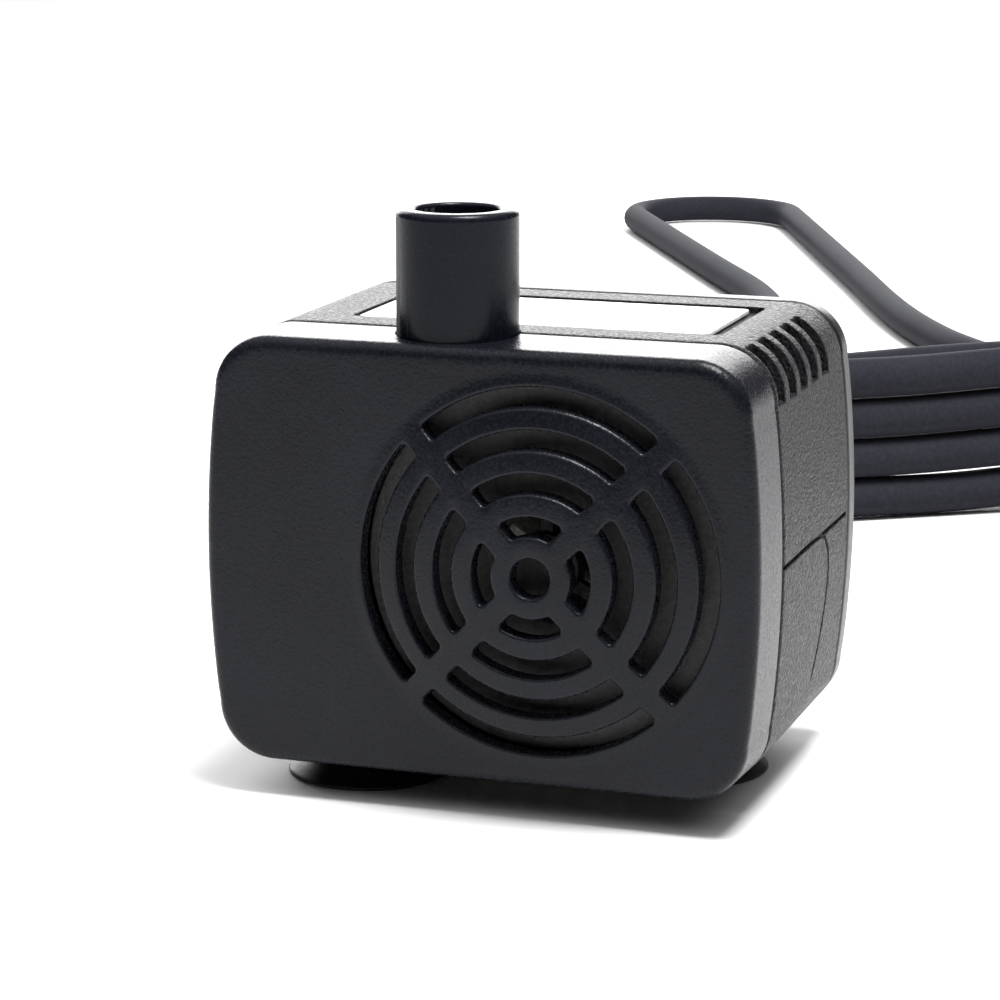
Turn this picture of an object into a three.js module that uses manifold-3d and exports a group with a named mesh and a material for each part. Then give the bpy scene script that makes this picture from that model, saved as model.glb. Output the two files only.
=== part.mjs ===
// Fountain submersible pump: box-shaped body on three suction cups, domed inlet
// grille on a removable front cover, round upright outlet on the volute cover,
// potted magnet-drive motor inside, and a mains lead wound into a tied hank.
// Units are millimetres. +X is to the right of the front face, +Y runs from the
// front face to the rear cover, +Z is up. The origin is the centre of the
// pump's footprint at floor level.
import * as THREE from 'three';
import * as BGU from 'three/addons/utils/BufferGeometryUtils.js';
import Module from 'manifold-3d';

const wasm = await Module();
wasm.setup();

// ---- driving dimensions -------------------------------------------------
const ZC = 27.0;            // height of the body's centre line above the floor
const COVER_W = 61.0, COVER_H = 46.3;   // front cover outline
const CASE_W = 61.4, CASE_H = 46.8;     // main case outline
const CORNER_R = 6.2;       // corner radius of the outlines
const BOW = 1.1;            // outward bow of the left and right sides
const COVER_D = 9.6;        // depth of the front cover
const CASE_Y0 = 9.9, CASE_Y1 = 39.7;    // main case from front to rear
const REAR_Y0 = 40.0, REAR_Y1 = 44.0;   // rear cover
const WALL = 2.0;
const DOME_H = 2.9, DOME_R = 20.8;      // bulge of the grille and its radius
const AX = 7.0;             // pump axis, to the right of the middle
const NX = -4.6, NY = 8.3;  // outlet axis
const NOZ_OD = 13.0, NOZ_ID = 8.9, NOZ_TOP = 63.5;
const RING_R = [6.4, 10.8, 15.2, 19.5], RING_W = 2.0, SPOKE_W = 2.7, EYE_R = 2.1;
const VOL_R = 16.1, VOL_WALL = 1.7, VOL_Y0 = 3.0, VOL_Y1 = 13.7, VOL_PLATE = 1.4;
const DECK_Y = 14.0, DECK_T = 2.0, WELL_R = 7.7, WELL_WALL = 1.3;
const CAN = { x0: -26.5, x1: 24.6, z: 18.0, y1: 39.4, wall: 1.4 };
const CUPS = [['front_left', -16.8, 13.2], ['rear_left', -16.8, 34.0], ['right', 16.3, 25.4]], CUP_R = 9.0;
const GX = -14.0, GZ = 15.0; // cable gland
const CORD_D = 6.0;
const LIE = CORD_D / 2 + 0.2; // height of the centre of a lead that lies on the floor
const YC = (REAR_Y1 - DOME_H) / 2;      // centre of the pump's depth

// hank of mains lead: centre, direction and size, in the pump's own axes
const HANK_C = [2.0, 176.0], HANK_A = 33 * Math.PI / 180, HANK_RUN = 90, HANK_R = 18.5;
const HANK_Z0 = 0.2, LIFT = 1.05;  // underside of the hank, and how far its right end lies higher, on the ties

// ---- helpers --------------------------------------------------------------
const MATS = {};
function mat(name, color, rough, metal = 0) {
  if (!MATS[name]) {
    MATS[name] = new THREE.MeshStandardMaterial({ color, roughness: rough, metalness: metal });
    MATS[name].name = name;
  }
  return MATS[name];
}
function toMan(geo) {
  let g = geo.index ? geo.toNonIndexed() : geo.clone();
  g.deleteAttribute('normal'); g.deleteAttribute('uv');
  g = BGU.mergeVertices(g, 1e-4);
  const pos = g.attributes.position.array, idx = g.index.array;
  const tri = [];
  for (let i = 0; i < idx.length; i += 3) {
    if (idx[i] !== idx[i + 1] && idx[i + 1] !== idx[i + 2] && idx[i] !== idx[i + 2]) tri.push(idx[i], idx[i + 1], idx[i + 2]);
  }
  return new wasm.Manifold(new wasm.Mesh({ numProp: 3, vertProperties: new Float32Array(pos), triVerts: new Uint32Array(tri) }));
}
function toGeo(man) {
  const m = man.getMesh();
  const g = new THREE.BufferGeometry();
  const n = m.vertProperties.length / m.numProp;
  const p = new Float32Array(n * 3);
  for (let i = 0; i < n; i++) for (let k = 0; k < 3; k++) p[i * 3 + k] = m.vertProperties[i * m.numProp + k];
  g.setAttribute('position', new THREE.BufferAttribute(p, 3));
  g.setIndex(new THREE.BufferAttribute(new Uint32Array(m.triVerts), 1));
  const q = g.toNonIndexed(); q.computeVertexNormals();
  return q;
}
const T = (g, x, y, z) => g.translate(x, y, z);
// box from corner to corner
function box(x0, x1, y0, y1, z0, z1) {
  return T(new THREE.BoxGeometry(x1 - x0, y1 - y0, z1 - z0), (x0 + x1) / 2, (y0 + y1) / 2, (z0 + z1) / 2);
}
// cylinder along Y from y0 to y1
function cylY(r, y0, y1, x, z, seg = 48) {
  return T(new THREE.CylinderGeometry(r, r, y1 - y0, seg), x, (y0 + y1) / 2, z);
}
// cylinder along Z
function cylZ(r, z0, z1, x, y, seg = 48) {
  return T(new THREE.CylinderGeometry(r, r, z1 - z0, seg).rotateX(Math.PI / 2), x, y, (z0 + z1) / 2);
}
// lathe about a Y-parallel line through (x, z); profile is [radius, y] pairs
function latheY(prof, x, z, seg = 48) {
  const pts = prof.map(p => new THREE.Vector2(p[0], p[1]));
  return T(orient(new THREE.LatheGeometry(pts, seg)), x, 0, z);
}
function latheZ(prof, x, y, seg = 48) {
  const pts = prof.map(p => new THREE.Vector2(p[0], p[1]));
  return T(orient(new THREE.LatheGeometry(pts, seg)).rotateX(Math.PI / 2), x, y, 0);
}
// turn a closed surface so that its faces look outwards
function volume(g) {
  const q = g.index ? g.toNonIndexed() : g; const p = q.attributes.position.array; let v = 0;
  for (let i = 0; i < p.length; i += 9) {
    v += (p[i] * (p[i + 4] * p[i + 8] - p[i + 5] * p[i + 7]) - p[i + 1] * (p[i + 3] * p[i + 8] - p[i + 5] * p[i + 6]) + p[i + 2] * (p[i + 3] * p[i + 7] - p[i + 4] * p[i + 6])) / 6;
  }
  return v;
}
function orient(g) {
  if (volume(g) >= 0) return g;
  const q = g.index ? g.toNonIndexed() : g.clone(); const p = q.attributes.position.array;
  for (let i = 0; i < p.length; i += 9) for (let k = 0; k < 3; k++) { const t = p[i + 3 + k]; p[i + 3 + k] = p[i + 6 + k]; p[i + 6 + k] = t; }
  return q;
}
// rounded outline in X and Z with bowed sides, counter-clockwise seen from the front
function outline(w, h, r, bow, n = 7) {
  const pts = []; const hw = w / 2, hh = h / 2;
  const cx = hw - r - bow, cz = hh - r;
  const side = s => {
    const out = [];
    for (let i = 1; i < 6; i++) { const t = i / 6; out.push([s * (hw - bow + bow * Math.sin(Math.PI * t) ** 0.8), (-cz + 2 * cz * t) * s]); }
    return out;
  };
  const corner = (sx, sz, a0) => { for (let i = 0; i <= n; i++) { const a = a0 + i / n * Math.PI / 2; pts.push([sx * cx + r * Math.cos(a), sz * cz + r * Math.sin(a)]); } };
  pts.push(...side(1)); corner(1, 1, 0); corner(-1, 1, Math.PI / 2); pts.push(...side(-1)); corner(-1, -1, Math.PI); corner(1, -1, 1.5 * Math.PI);
  return pts;
}
// solid through outlines at successive y values, closed at both ends
function loft(sections) {
  const n = sections[0].pts.length; const v = [], idx = [];
  for (const s of sections) for (const p of s.pts) v.push(p[0], s.y, p[1] + ZC);
  for (let k = 0; k < sections.length - 1; k++) for (let i = 0; i < n; i++) {
    const a = k * n + i, b = k * n + (i + 1) % n, c = a + n, d = b + n;
    idx.push(a, b, d, a, d, c);
  }
  const caps = [0, sections.length - 1];
  for (const k of caps) {
    const tri = THREE.ShapeUtils.triangulateShape(sections[k].pts.map(p => new THREE.Vector2(p[0], p[1])), []);
    for (const t of tri) { if (k === 0) idx.push(k * n + t[0], k * n + t[2], k * n + t[1]); else idx.push(k * n + t[0], k * n + t[1], k * n + t[2]); }
  }
  const g = new THREE.BufferGeometry();
  g.setAttribute('position', new THREE.BufferAttribute(new Float32Array(v), 3)); g.setIndex(idx);
  return orient(g.toNonIndexed());
}
// flat outline in X and Z extruded along Y
function plateY(pts, y0, y1) { return loftRaw(pts, y0, y1); }
function loftRaw(pts, y0, y1) {
  const sh = new THREE.Shape(pts.map(p => new THREE.Vector2(p[0], p[1])));
  const g = new THREE.ExtrudeGeometry(sh, { depth: y1 - y0, bevelEnabled: false });
  g.rotateX(Math.PI / 2); g.translate(0, y1, 0);
  return orient(g);
}
// flat outline in X and Y extruded along Z
function plateZ(pts, z0, z1) {
  const sh = new THREE.Shape(pts.map(p => new THREE.Vector2(p[0], p[1])));
  return orient(T(new THREE.ExtrudeGeometry(sh, { depth: z1 - z0, bevelEnabled: false }), 0, 0, z0));
}
function union(...gs) { let m = toMan(gs[0]); for (const g of gs.slice(1)) m = m.add(toMan(g)); return m; }
function cut(m, ...gs) { for (const g of gs) m = m.subtract(toMan(g)); return m; }

const group = new THREE.Group();
group.name = 'fountain_submersible_pump';
function addMesh(name, geo, material) {
  geo.translate(0, -YC, 0);
  const m = new THREE.Mesh(geo, material); m.name = name; group.add(m); return m;
}
const addMan = (name, man, material) => addMesh(name, toGeo(man), material);

const SHELL = mat('shell_plastic', 0x1c1d20, 0.5);
const COVER = mat('cover_plastic', 0x1f2023, 0.4);
const RUBBER = mat('black_rubber', 0x141414, 0.8);
const MAGNET = mat('ferrite_magnet', 0x3a3b3e, 0.6);
const CERAMIC = mat('ceramic', 0xe8e4dc, 0.3);
const STEEL = mat('lamination_steel', 0x8d9094, 0.4, 0.8);
const NYLON = mat('white_nylon', 0xdddbd2, 0.5);
const COPPER = mat('copper_wire', 0xa65a2a, 0.35, 0.8);
const EPOXY = mat('epoxy', 0x23241f, 0.35);
const LABEL = mat('blank_label', 0xf2f2f0, 0.45);
const CORD = mat('cord_pvc', 0x1a1b1f, 0.45);
const BRASS = mat('plug_brass', 0xb79a5a, 0.3, 0.9);
const WIRE = mat('wire_insulation', 0x5a3a22, 0.5);

// ---- front cover ------------------------------------------------------------
const oFace = outline(COVER_W - 1.0, COVER_H - 1.0, CORNER_R - 0.4, BOW);
const oFace2 = outline(COVER_W - 0.3, COVER_H - 0.3, CORNER_R - 0.1, BOW);
const oCover = outline(COVER_W, COVER_H, CORNER_R, BOW);
const oCover2 = outline(CASE_W - 0.1, CASE_H - 0.1, CORNER_R, BOW);
const oCoverIn = outline(COVER_W - 2 * WALL, COVER_H - 2 * WALL, CORNER_R - WALL, BOW);
const domeProfile = t => {   // height of the bulge at radius fraction t
  const pts = [[0, 1], [0.16, 0.985], [0.31, 0.93], [0.52, 0.74], [0.73, 0.44], [0.9, 0.15], [1, 0]];
  for (let i = 1; i < pts.length; i++) if (t <= pts[i][0]) { const a = pts[i - 1], b = pts[i]; return a[1] + (b[1] - a[1]) * (t - a[0]) / (b[0] - a[0]); }
  return 0;
};
const RS = [0, 0.16, 0.31, 0.52, 0.73, 0.9, 1];
const domeOut = latheY([...RS.map(t => [DOME_R * t, -DOME_H * domeProfile(t)]), [DOME_R, 1.0], [0, 1.0]], AX, ZC, 56);
const domeIn = latheY([...RS.map(t => [DOME_R * t, 2.0 - DOME_H * domeProfile(t)]), [DOME_R, 2.6], [0, 2.6]], AX, ZC, 56);
let fc = union(loft([{ y: 0, pts: oFace }, { y: 0.25, pts: oFace2 }, { y: 0.7, pts: oCover }, { y: COVER_D, pts: oCover2 }]), domeOut);
fc = cut(fc, loft([{ y: 2.0, pts: oCoverIn }, { y: COVER_D + 1, pts: oCoverIn }]), domeIn);
const slots = [];
for (const ro of RING_R) {
  const ri = ro - RING_W;
  for (let q = 0; q < 4; q++) {
    const n = Math.max(6, Math.round(ro * 0.75)), pts = [];
    const lo = Math.PI / 4 - Math.asin(SPOKE_W / 2 / ro), li = Math.PI / 4 - Math.asin(SPOKE_W / 2 / ri);
    for (let i = 0; i <= n; i++) { const a = q * Math.PI / 2 - lo + 2 * lo * i / n; pts.push([AX + ro * Math.cos(a), ZC + ro * Math.sin(a)]); }
    for (let i = n; i >= 0; i--) { const a = q * Math.PI / 2 - li + 2 * li * i / n; pts.push([AX + ri * Math.cos(a), ZC + ri * Math.sin(a)]); }
    slots.push(plateY(pts, -5, 4));
  }
}
slots.push(cylY(EYE_R, -5, 4, AX, ZC, 24));
fc = cut(fc, ...slots);
const notchR = NOZ_OD / 2 + 0.3;
fc = cut(fc, cylZ(notchR, ZC + 18.2, ZC + 30, NX, NY, 48), box(NX - notchR, NX + notchR, NY, COVER_D + 1, ZC + 18.2, ZC + 30));
addMan('front_cover', fc, COVER);

// ---- main case ---------------------------------------------------------------
const oCase = outline(CASE_W, CASE_H, CORNER_R, BOW);
const oCaseIn = outline(CASE_W - 2 * WALL, CASE_H - 2 * WALL, CORNER_R - WALL, BOW);
let mc = union(loft([{ y: CASE_Y0, pts: oCase }, { y: CASE_Y1, pts: oCase }]));
mc = cut(mc, loft([{ y: CASE_Y0 - 1, pts: oCaseIn }, { y: CASE_Y1 + 1, pts: oCaseIn }]));
// tongues that locate the front cover
const sideIn = COVER_W / 2 - WALL - 0.3;
for (const s of [-1, 1]) for (const z of [-9, 9]) {
  const xi = s > 0 ? sideIn - 2.3 : -sideIn + 0.3, xo = s > 0 ? sideIn - 0.3 : -sideIn + 2.3;
  mc = mc.add(toMan(box(Math.min(xi, xo), Math.max(xi, xo), 6.2, CASE_Y0 + 2.5, ZC + z - 3, ZC + z + 3)));
  mc = mc.add(toMan(box(s > 0 ? sideIn - 1.6 : -sideIn - 1.2, s > 0 ? sideIn + 1.2 : -sideIn + 1.6, CASE_Y0 + 0.3, CASE_Y0 + 2.5, ZC + z - 3, ZC + z + 3)));
}
// outlet passes through the front edge of the top wall
mc = cut(mc, cylZ(notchR, ZC + 18.2, ZC + 30, NX, NY, 48), box(NX - notchR, NX + notchR, 0, NY, ZC + 18.2, ZC + 30));
// five slots over the upper right edge
const VENT_Y0 = 12.3, VENT_P = 4.85, VENT_W = 3.0;
for (let i = 0; i < 5; i++) {
  const y = VENT_Y0 + i * VENT_P;
  mc = cut(mc, box(25.9, 32, y - VENT_W / 2, y + VENT_W / 2, ZC + 16.9, ZC + 25));
}
// shallow recess for the label
const top = ZC + CASE_H / 2;
mc = cut(mc, box(-19.2, 22.2, 15.0, 34.6, top - 0.7, top + 1));
// panel groove on the lower right side
const gro = [[10.5, 0.0], [26.5, 0.0], [29.2, -1.2], [30.6, -3.8], [30.4, -7.5], [29.0, -12.0], [27.2, -16.4]];
for (let i = 0; i < gro.length - 1; i++) {
  const [ya, za] = gro[i], [yb, zb] = gro[i + 1]; const L = Math.hypot(yb - ya, zb - za), a = Math.atan2(zb - za, yb - ya);
  const b = new THREE.BoxGeometry(2, L + 0.4, 0.5).rotateX(a);
  mc = cut(mc, T(b, CASE_W / 2 + 0.55, (ya + yb) / 2, ZC + (za + zb) / 2));
}
{ // line of the step carried on to the rear edge
  mc = cut(mc, box(CASE_W / 2 - 0.4, CASE_W / 2 + 2, 26.0, 38.6, ZC - 0.2, ZC + 0.2));
}
// holes for the suction cups
for (const [, cx, cy] of CUPS) mc = cut(mc, cylZ(2.5, 0, 8, cx, cy, 24));
addMan('main_case', mc, SHELL);

// ---- label ---------------------------------------------------------------------
addMesh('label_plate', box(-18.7, 20.6, 15.6, 33.6, top - 0.5, top - 0.1), LABEL);

// ---- motor housing with rotor well -------------------------------------------------
let mh = union(box(CAN.x0, CAN.x1, DECK_Y, CAN.y1, ZC - CAN.z, ZC + CAN.z));
mh = cut(mh, box(CAN.x0 + CAN.wall, CAN.x1 - CAN.wall, DECK_Y + DECK_T, CAN.y1 + 1, ZC - CAN.z + CAN.wall, ZC + CAN.z - CAN.wall));
mh = mh.add(toMan(cylY(WELL_R + WELL_WALL, DECK_Y + 0.5, 37.2, AX, ZC)));
mh = cut(mh, cylY(WELL_R, DECK_Y - 1, 34.6, AX, ZC), cylY(2.9, 34, 36.2, AX, ZC, 24));
mh = cut(mh, latheY([[16.0, DECK_Y - 1], [18.0, DECK_Y - 1], [18.0, DECK_Y + 1.4], [16.0, DECK_Y + 1.4], [16.0, DECK_Y - 1]], AX, ZC, 56));
// locating ribs between housing and case
for (const x of [-21, 9]) mh = mh.add(toMan(box(x - 0.8, x + 0.8, 17, 37, ZC + CAN.z - 0.5, ZC + CASE_H / 2 - WALL - 0.3)));
for (const x of [-5, 5]) mh = mh.add(toMan(box(x - 0.8, x + 0.8, 17, 37, ZC - CASE_H / 2 + WALL + 0.3, ZC - CAN.z + 0.5)));
for (const z of [-8, 8]) mh = mh.add(toMan(box(-CASE_W / 2 + WALL + 0.7, CAN.x0 + 0.5, 17, 37, ZC + z - 0.8, ZC + z + 0.8)));
addMan('motor_housing', mh, SHELL);

// ---- volute seal ring ------------------------------------------------------------------
{
  const g = new THREE.TorusGeometry(17.0, 0.72, 10, 56).rotateX(Math.PI / 2);
  addMesh('volute_seal', T(orient(g), AX, 14.6, ZC), RUBBER);
}

// ---- volute cover with outlet --------------------------------------------------------------
const VR = VOL_R + VOL_WALL;
let vc = union(cylY(VR, VOL_Y0, VOL_Y1, AX, ZC, 64), cylY(19.2, 11.9, VOL_Y1, AX, ZC, 64), cylY(19.8, VOL_Y0, VOL_Y0 + 1.2, AX, ZC, 64));
const lower = toMan(cylZ(NOZ_OD / 2, ZC + 1, ZC + 19.2, NX, NY, 48)).intersect(toMan(box(NX - 8, NX + 8, VOL_Y0, VOL_Y1, ZC, ZC + 20)));
const lip = 0.9;
const tube = latheZ([[0, ZC + 18.6], [NOZ_OD / 2, ZC + 18.6], [NOZ_OD / 2, NOZ_TOP - lip], [NOZ_OD / 2 - 0.27, NOZ_TOP - 0.27], [NOZ_OD / 2 - lip, NOZ_TOP], [0, NOZ_TOP]], NX, NY, 48);
vc = vc.add(lower).add(toMan(tube));
// chamber, inlet and outlet bore
vc = cut(vc, cylY(VOL_R, VOL_Y0 + VOL_PLATE, VOL_Y1 + 1, AX, ZC, 64));
vc = cut(vc, cylZ(NOZ_ID / 2, ZC + 0.5, NOZ_TOP + 1, NX, NY, 40));
vc = cut(vc, cylY(5.8, 0, VOL_Y0 + 3, AX, ZC, 40));
// hub with three ribs carrying the front bushing
let hub = union(cylY(3.7, 2.4, 5.0, AX, ZC, 32));
for (let i = 0; i < 3; i++) hub = hub.add(toMan(T(new THREE.BoxGeometry(1.3, VOL_PLATE, 6.6).translate(0, VOL_Y0 + VOL_PLATE / 2, 3.5).rotateY(i * 2 * Math.PI / 3), AX, 0, ZC)));
hub = cut(hub, cylY(2.8, 3.0, 6, AX, ZC, 32));
vc = vc.add(hub);
addMan('volute_cover', vc, COVER);

// ---- rotor -----------------------------------------------------------------------------------
const SH_R = 1.25;
let im = union(latheY([[1.31, 5.6], [3.2, 5.6], [3.2, 12.0], [11.5, 12.0], [11.5, 13.2], [4.6, 13.2], [4.6, 16.5], [2.4, 16.5], [2.4, 33.9], [1.31, 33.9], [1.31, 5.6]], AX, ZC, 40));
for (let i = 0; i < 6; i++) im = im.add(toMan(T(new THREE.BoxGeometry(1.3, 6.3, 8.9).translate(0, 9.25, 7.0).rotateY(i * Math.PI / 3), AX, 0, ZC)));
addMan('impeller', im, NYLON);
addMesh('rotor_magnet', latheY([[2.6, 16.9], [7.1, 16.9], [7.1, 33.7], [2.6, 33.7], [2.6, 16.9]], AX, ZC, 48), MAGNET);
addMesh('ceramic_shaft', latheY([[0, 3.95], [SH_R - 0.25, 3.95], [SH_R, 4.2], [SH_R, 34.85], [SH_R - 0.25, 35.1], [0, 35.1]], AX, ZC, 32), CERAMIC);
addMesh('bushing_front', latheY([[0, 3.1], [2.5, 3.1], [2.5, 5.0], [1.5, 5.0], [1.5, 3.7], [0, 3.7]], AX, ZC, 32), RUBBER);
addMesh('bushing_rear', latheY([[0, 36.0], [2.6, 36.0], [2.6, 34.3], [1.5, 34.3], [1.5, 35.35], [0, 35.35]], AX, ZC, 32), RUBBER);

// ---- stator -----------------------------------------------------------------------------------
const ST = { y0: 21.0, y1: 33.0, x0: -24.4, x1: 20.0, z: 13.2 };
let st = union(box(ST.x0, ST.x1, ST.y0, ST.y1, ZC - ST.z, ZC + ST.z));
st = cut(st, cylY(WELL_R + WELL_WALL + 0.3, ST.y0 - 1, ST.y1 + 1, AX, ZC, 48),
  box(-18.6, AX, ST.y0 - 1, ST.y1 + 1, ZC - 6.4, ZC + 6.4),
  box(AX, ST.x1 + 1, ST.y0 - 1, ST.y1 + 1, ZC - 1.7, ZC + 1.7));
addMan('stator_core', st, STEEL);
const LEG = { z0: 6.4, z1: 13.2, xa: -18.2, xb: -4.8 };
for (const [nm, s] of [['upper', 1], ['lower', -1]]) {
  const zb = (d) => { const a = ZC + s * (LEG.z0 - d), b = ZC + s * (LEG.z1 + d); return [Math.min(a, b), Math.max(a, b)]; };
  const B = (x0, x1, d) => { const [z0, z1] = zb(d); return box(x0, x1, ST.y0 - d, ST.y1 + d, z0, z1); };
  let bb = union(B(LEG.xa, LEG.xb, 0.9), B(LEG.xa, LEG.xa + 1, 2.9), B(LEG.xb - 1, LEG.xb, 2.9));
  bb = cut(bb, B(LEG.xa - 1, LEG.xb + 1, 0.2));
  addMan('bobbin_' + nm, bb, NYLON);
  let ww = union(B(LEG.xa + 1.2, LEG.xb - 1.2, 2.7));
  ww = cut(ww, B(LEG.xa, LEG.xb, 1.05));
  addMan('winding_' + nm, ww, COPPER);
}

// ---- potting and wires -----------------------------------------------------------------------------
let po = union(box(CAN.x0 + CAN.wall + 0.2, CAN.x1 - CAN.wall - 0.2, 37.6, 39.2, ZC - CAN.z + CAN.wall + 0.2, ZC + CAN.z - CAN.wall - 0.2));
po = cut(po, cylY(1.1, 36, 41, GX, GZ + 1.3, 20), cylY(1.1, 36, 41, GX, GZ - 1.3, 20));
addMan('potting', po, EPOXY);
for (const [nm, s] of [['a', 1], ['b', -1]]) addMesh('core_wire_' + nm, cylY(0.8, 36.4, 40.5, GX, GZ + s * 1.3, 16), WIRE);

// ---- rear cover --------------------------------------------------------------------------------------
const oR1 = outline(CASE_W - 0.5, CASE_H - 0.5, CORNER_R - 0.2, BOW), oR2 = outline(CASE_W - 1.8, CASE_H - 1.8, CORNER_R - 0.8, BOW);
let rc = union(loft([{ y: REAR_Y0, pts: oCase }, { y: REAR_Y1 - 1.2, pts: oCase }, { y: REAR_Y1 - 0.4, pts: oR1 }, { y: REAR_Y1, pts: oR2 }]));
rc = cut(rc, loft([{ y: REAR_Y0 - 1, pts: oCaseIn }, { y: REAR_Y1 - 1.8, pts: oCaseIn }]), cylY(5.2, 40, 46, GX, GZ, 40));
addMan('rear_cover', rc, SHELL);

// ---- suction cups ----------------------------------------------------------------------------------------
const under = ZC - CASE_H / 2;   // underside of the case
const cupProf = [[0, 1.6], [2.2, 1.55], [4.8, 1.2], [7.0, 0.55], [8.2, 0.0], [CUP_R, 0.0], [CUP_R - 0.1, 0.4], [7.5, 1.3], [5.5, 2.4], [3.7, 3.2], [2.2, 3.35],
  [2.2, under + WALL + 0.2], [2.9, under + WALL + 0.3], [2.7, under + WALL + 1.4], [0, under + WALL + 1.6]];
for (const [nm, cx, cy] of CUPS) addMesh('suction_cup_' + nm, latheZ(cupProf, cx, cy, 40), RUBBER);

// ---- cable gland -----------------------------------------------------------------------------------------
const GL_END = 78;
addMesh('cable_gland', latheY([[0, 40.8], [6.6, 40.8], [6.6, 41.9], [4.9, 41.9], [4.9, 44.4], [6.2, 44.4], [6.2, 46.0], [5.2, 47.0], [4.1, 62.0], [3.5, GL_END - 0.6], [3.2, GL_END], [0, GL_END]], GX, GZ, 36), RUBBER);

// ---- mains lead ------------------------------------------------------------------------------------------
const U = [Math.cos(HANK_A), Math.sin(HANK_A)], N = [Math.sin(HANK_A), -Math.cos(HANK_A)];
// point in the hank's own axes: s along the runs, o towards the front
const H = (s, o) => [HANK_C[0] + U[0] * s + N[0] * o, HANK_C[1] + U[1] * s + N[1] * o];
function tubeAlong(points, r, steps, sides = 12) {
  const curve = new THREE.CatmullRomCurve3(points.map(p => new THREE.Vector3(...p)), false, 'centripetal');
  const sh = new THREE.Shape();
  for (let i = 0; i < sides; i++) { const a = i / sides * 2 * Math.PI; if (i === 0) sh.moveTo(r, 0); else sh.lineTo(r * Math.cos(a), r * Math.sin(a)); }
  sh.closePath();
  return orient(new THREE.ExtrudeGeometry(sh, { steps, bevelEnabled: false, extrudePath: curve }));
}
const CR = CORD_D / 2, RO = HANK_R + CR, RI = HANK_R - CR, HR = HANK_RUN / 2;
// bend by which the lead from the gland comes onto the front run, and bend by which the top strand leaves
const R1 = 40, R4 = 28, D = Math.PI / 180;
const SE = (GX + R1 * (1 - Math.sin(HANK_A)) - HANK_C[0] - Math.sin(HANK_A) * HANK_R) / Math.cos(HANK_A);
const Y1 = HANK_C[1] + Math.sin(HANK_A) * SE - Math.cos(HANK_A) * HANK_R - R1 * Math.cos(HANK_A);
const onBend = (h, r) => [GX + R1 - r * Math.sin(h * D), Y1 + r * Math.cos(h * D)];
// hank: three levels all round, and a fourth along the front and round the left end
{
  const V = pts => pts.map(p => new THREE.Vector2(p[0], p[1]));
  const slab = (pts, z0, z1) => toMan(orient(T(new THREE.ExtrudeGeometry(new THREE.Shape(V(pts)), { depth: z1 - z0, bevelEnabled: false }), 0, 0, z0)));
  const arc = (s0, o0, r, a0, a1, k) => { const out = []; for (let i = 0; i <= k; i++) { const a = (a0 + (a1 - a0) * i / k) * D; out.push(H(s0 + r * Math.cos(a), o0 + r * Math.sin(a))); } return out; };
  const ring = r => [...arc(HR, 0, r, -90, 90, 14), ...arc(-HR, 0, r, 90, 270, 14)];
  const L3 = HANK_Z0 + 3 * CORD_D, L4 = HANK_Z0 + 4 * CORD_D, S = 24;
  const side = (s0, s1, z0, z1) => slab([H(s0, -60), H(s1, -60), H(s1, 60), H(s0, 60)], z0, z1);
  let hk = slab(ring(RO), HANK_Z0, L3 + LIFT).subtract(slab(ring(RI), -1, 40));
  hk = hk.subtract(side(-80, S, L3, 40)).subtract(side(S, 80, -1, HANK_Z0 + LIFT));
  const top = [...arc(-HR, 0, RO, 270, 90, 14), ...arc(HR, HANK_R - R4, R4 + CR, 90, 22, 7), ...arc(HR, HANK_R - R4, R4 - CR, 22, 90, 7), ...arc(-HR, 0, RI, 90, 270, 14)];
  hk = hk.add(slab(top, L3 - 0.01, L4)).add(slab(top, L3, L4 + LIFT).subtract(side(-80, S, 0, 40)));
  const band = []; for (let i = 0; i <= 4; i++) band.push(onBend(66 - 33 * i / 4, R1 - CR)); for (let i = 4; i >= 0; i--) band.push(onBend(66 - 33 * i / 4, R1 + CR));
  hk = hk.add(slab(band, HANK_Z0, HANK_Z0 + CORD_D));
  addMan('cord_hank', hk, CORD);
}
// lead from the gland to the hank
{
  const e = onBend(66.6, R1), e1 = onBend(67.6, R1);
  const path = [[GX, GL_END + 0.35, GZ], [GX, GL_END + 2, GZ], [-14.00, 88.82, 14.28], [-14.00, 95.43, 12.15], [-14.00, 102.42, 9.10], [-14.00, 109.41, 6.05], [-14.00, 116.40, 3.83], [-14.00, 121.83, LIE],
    [...onBend(78, R1), LIE], [...e1, LIE], [...e, LIE]];
  addMesh('cord_lead', tubeAlong(path, CR, 14), CORD);
}
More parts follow.
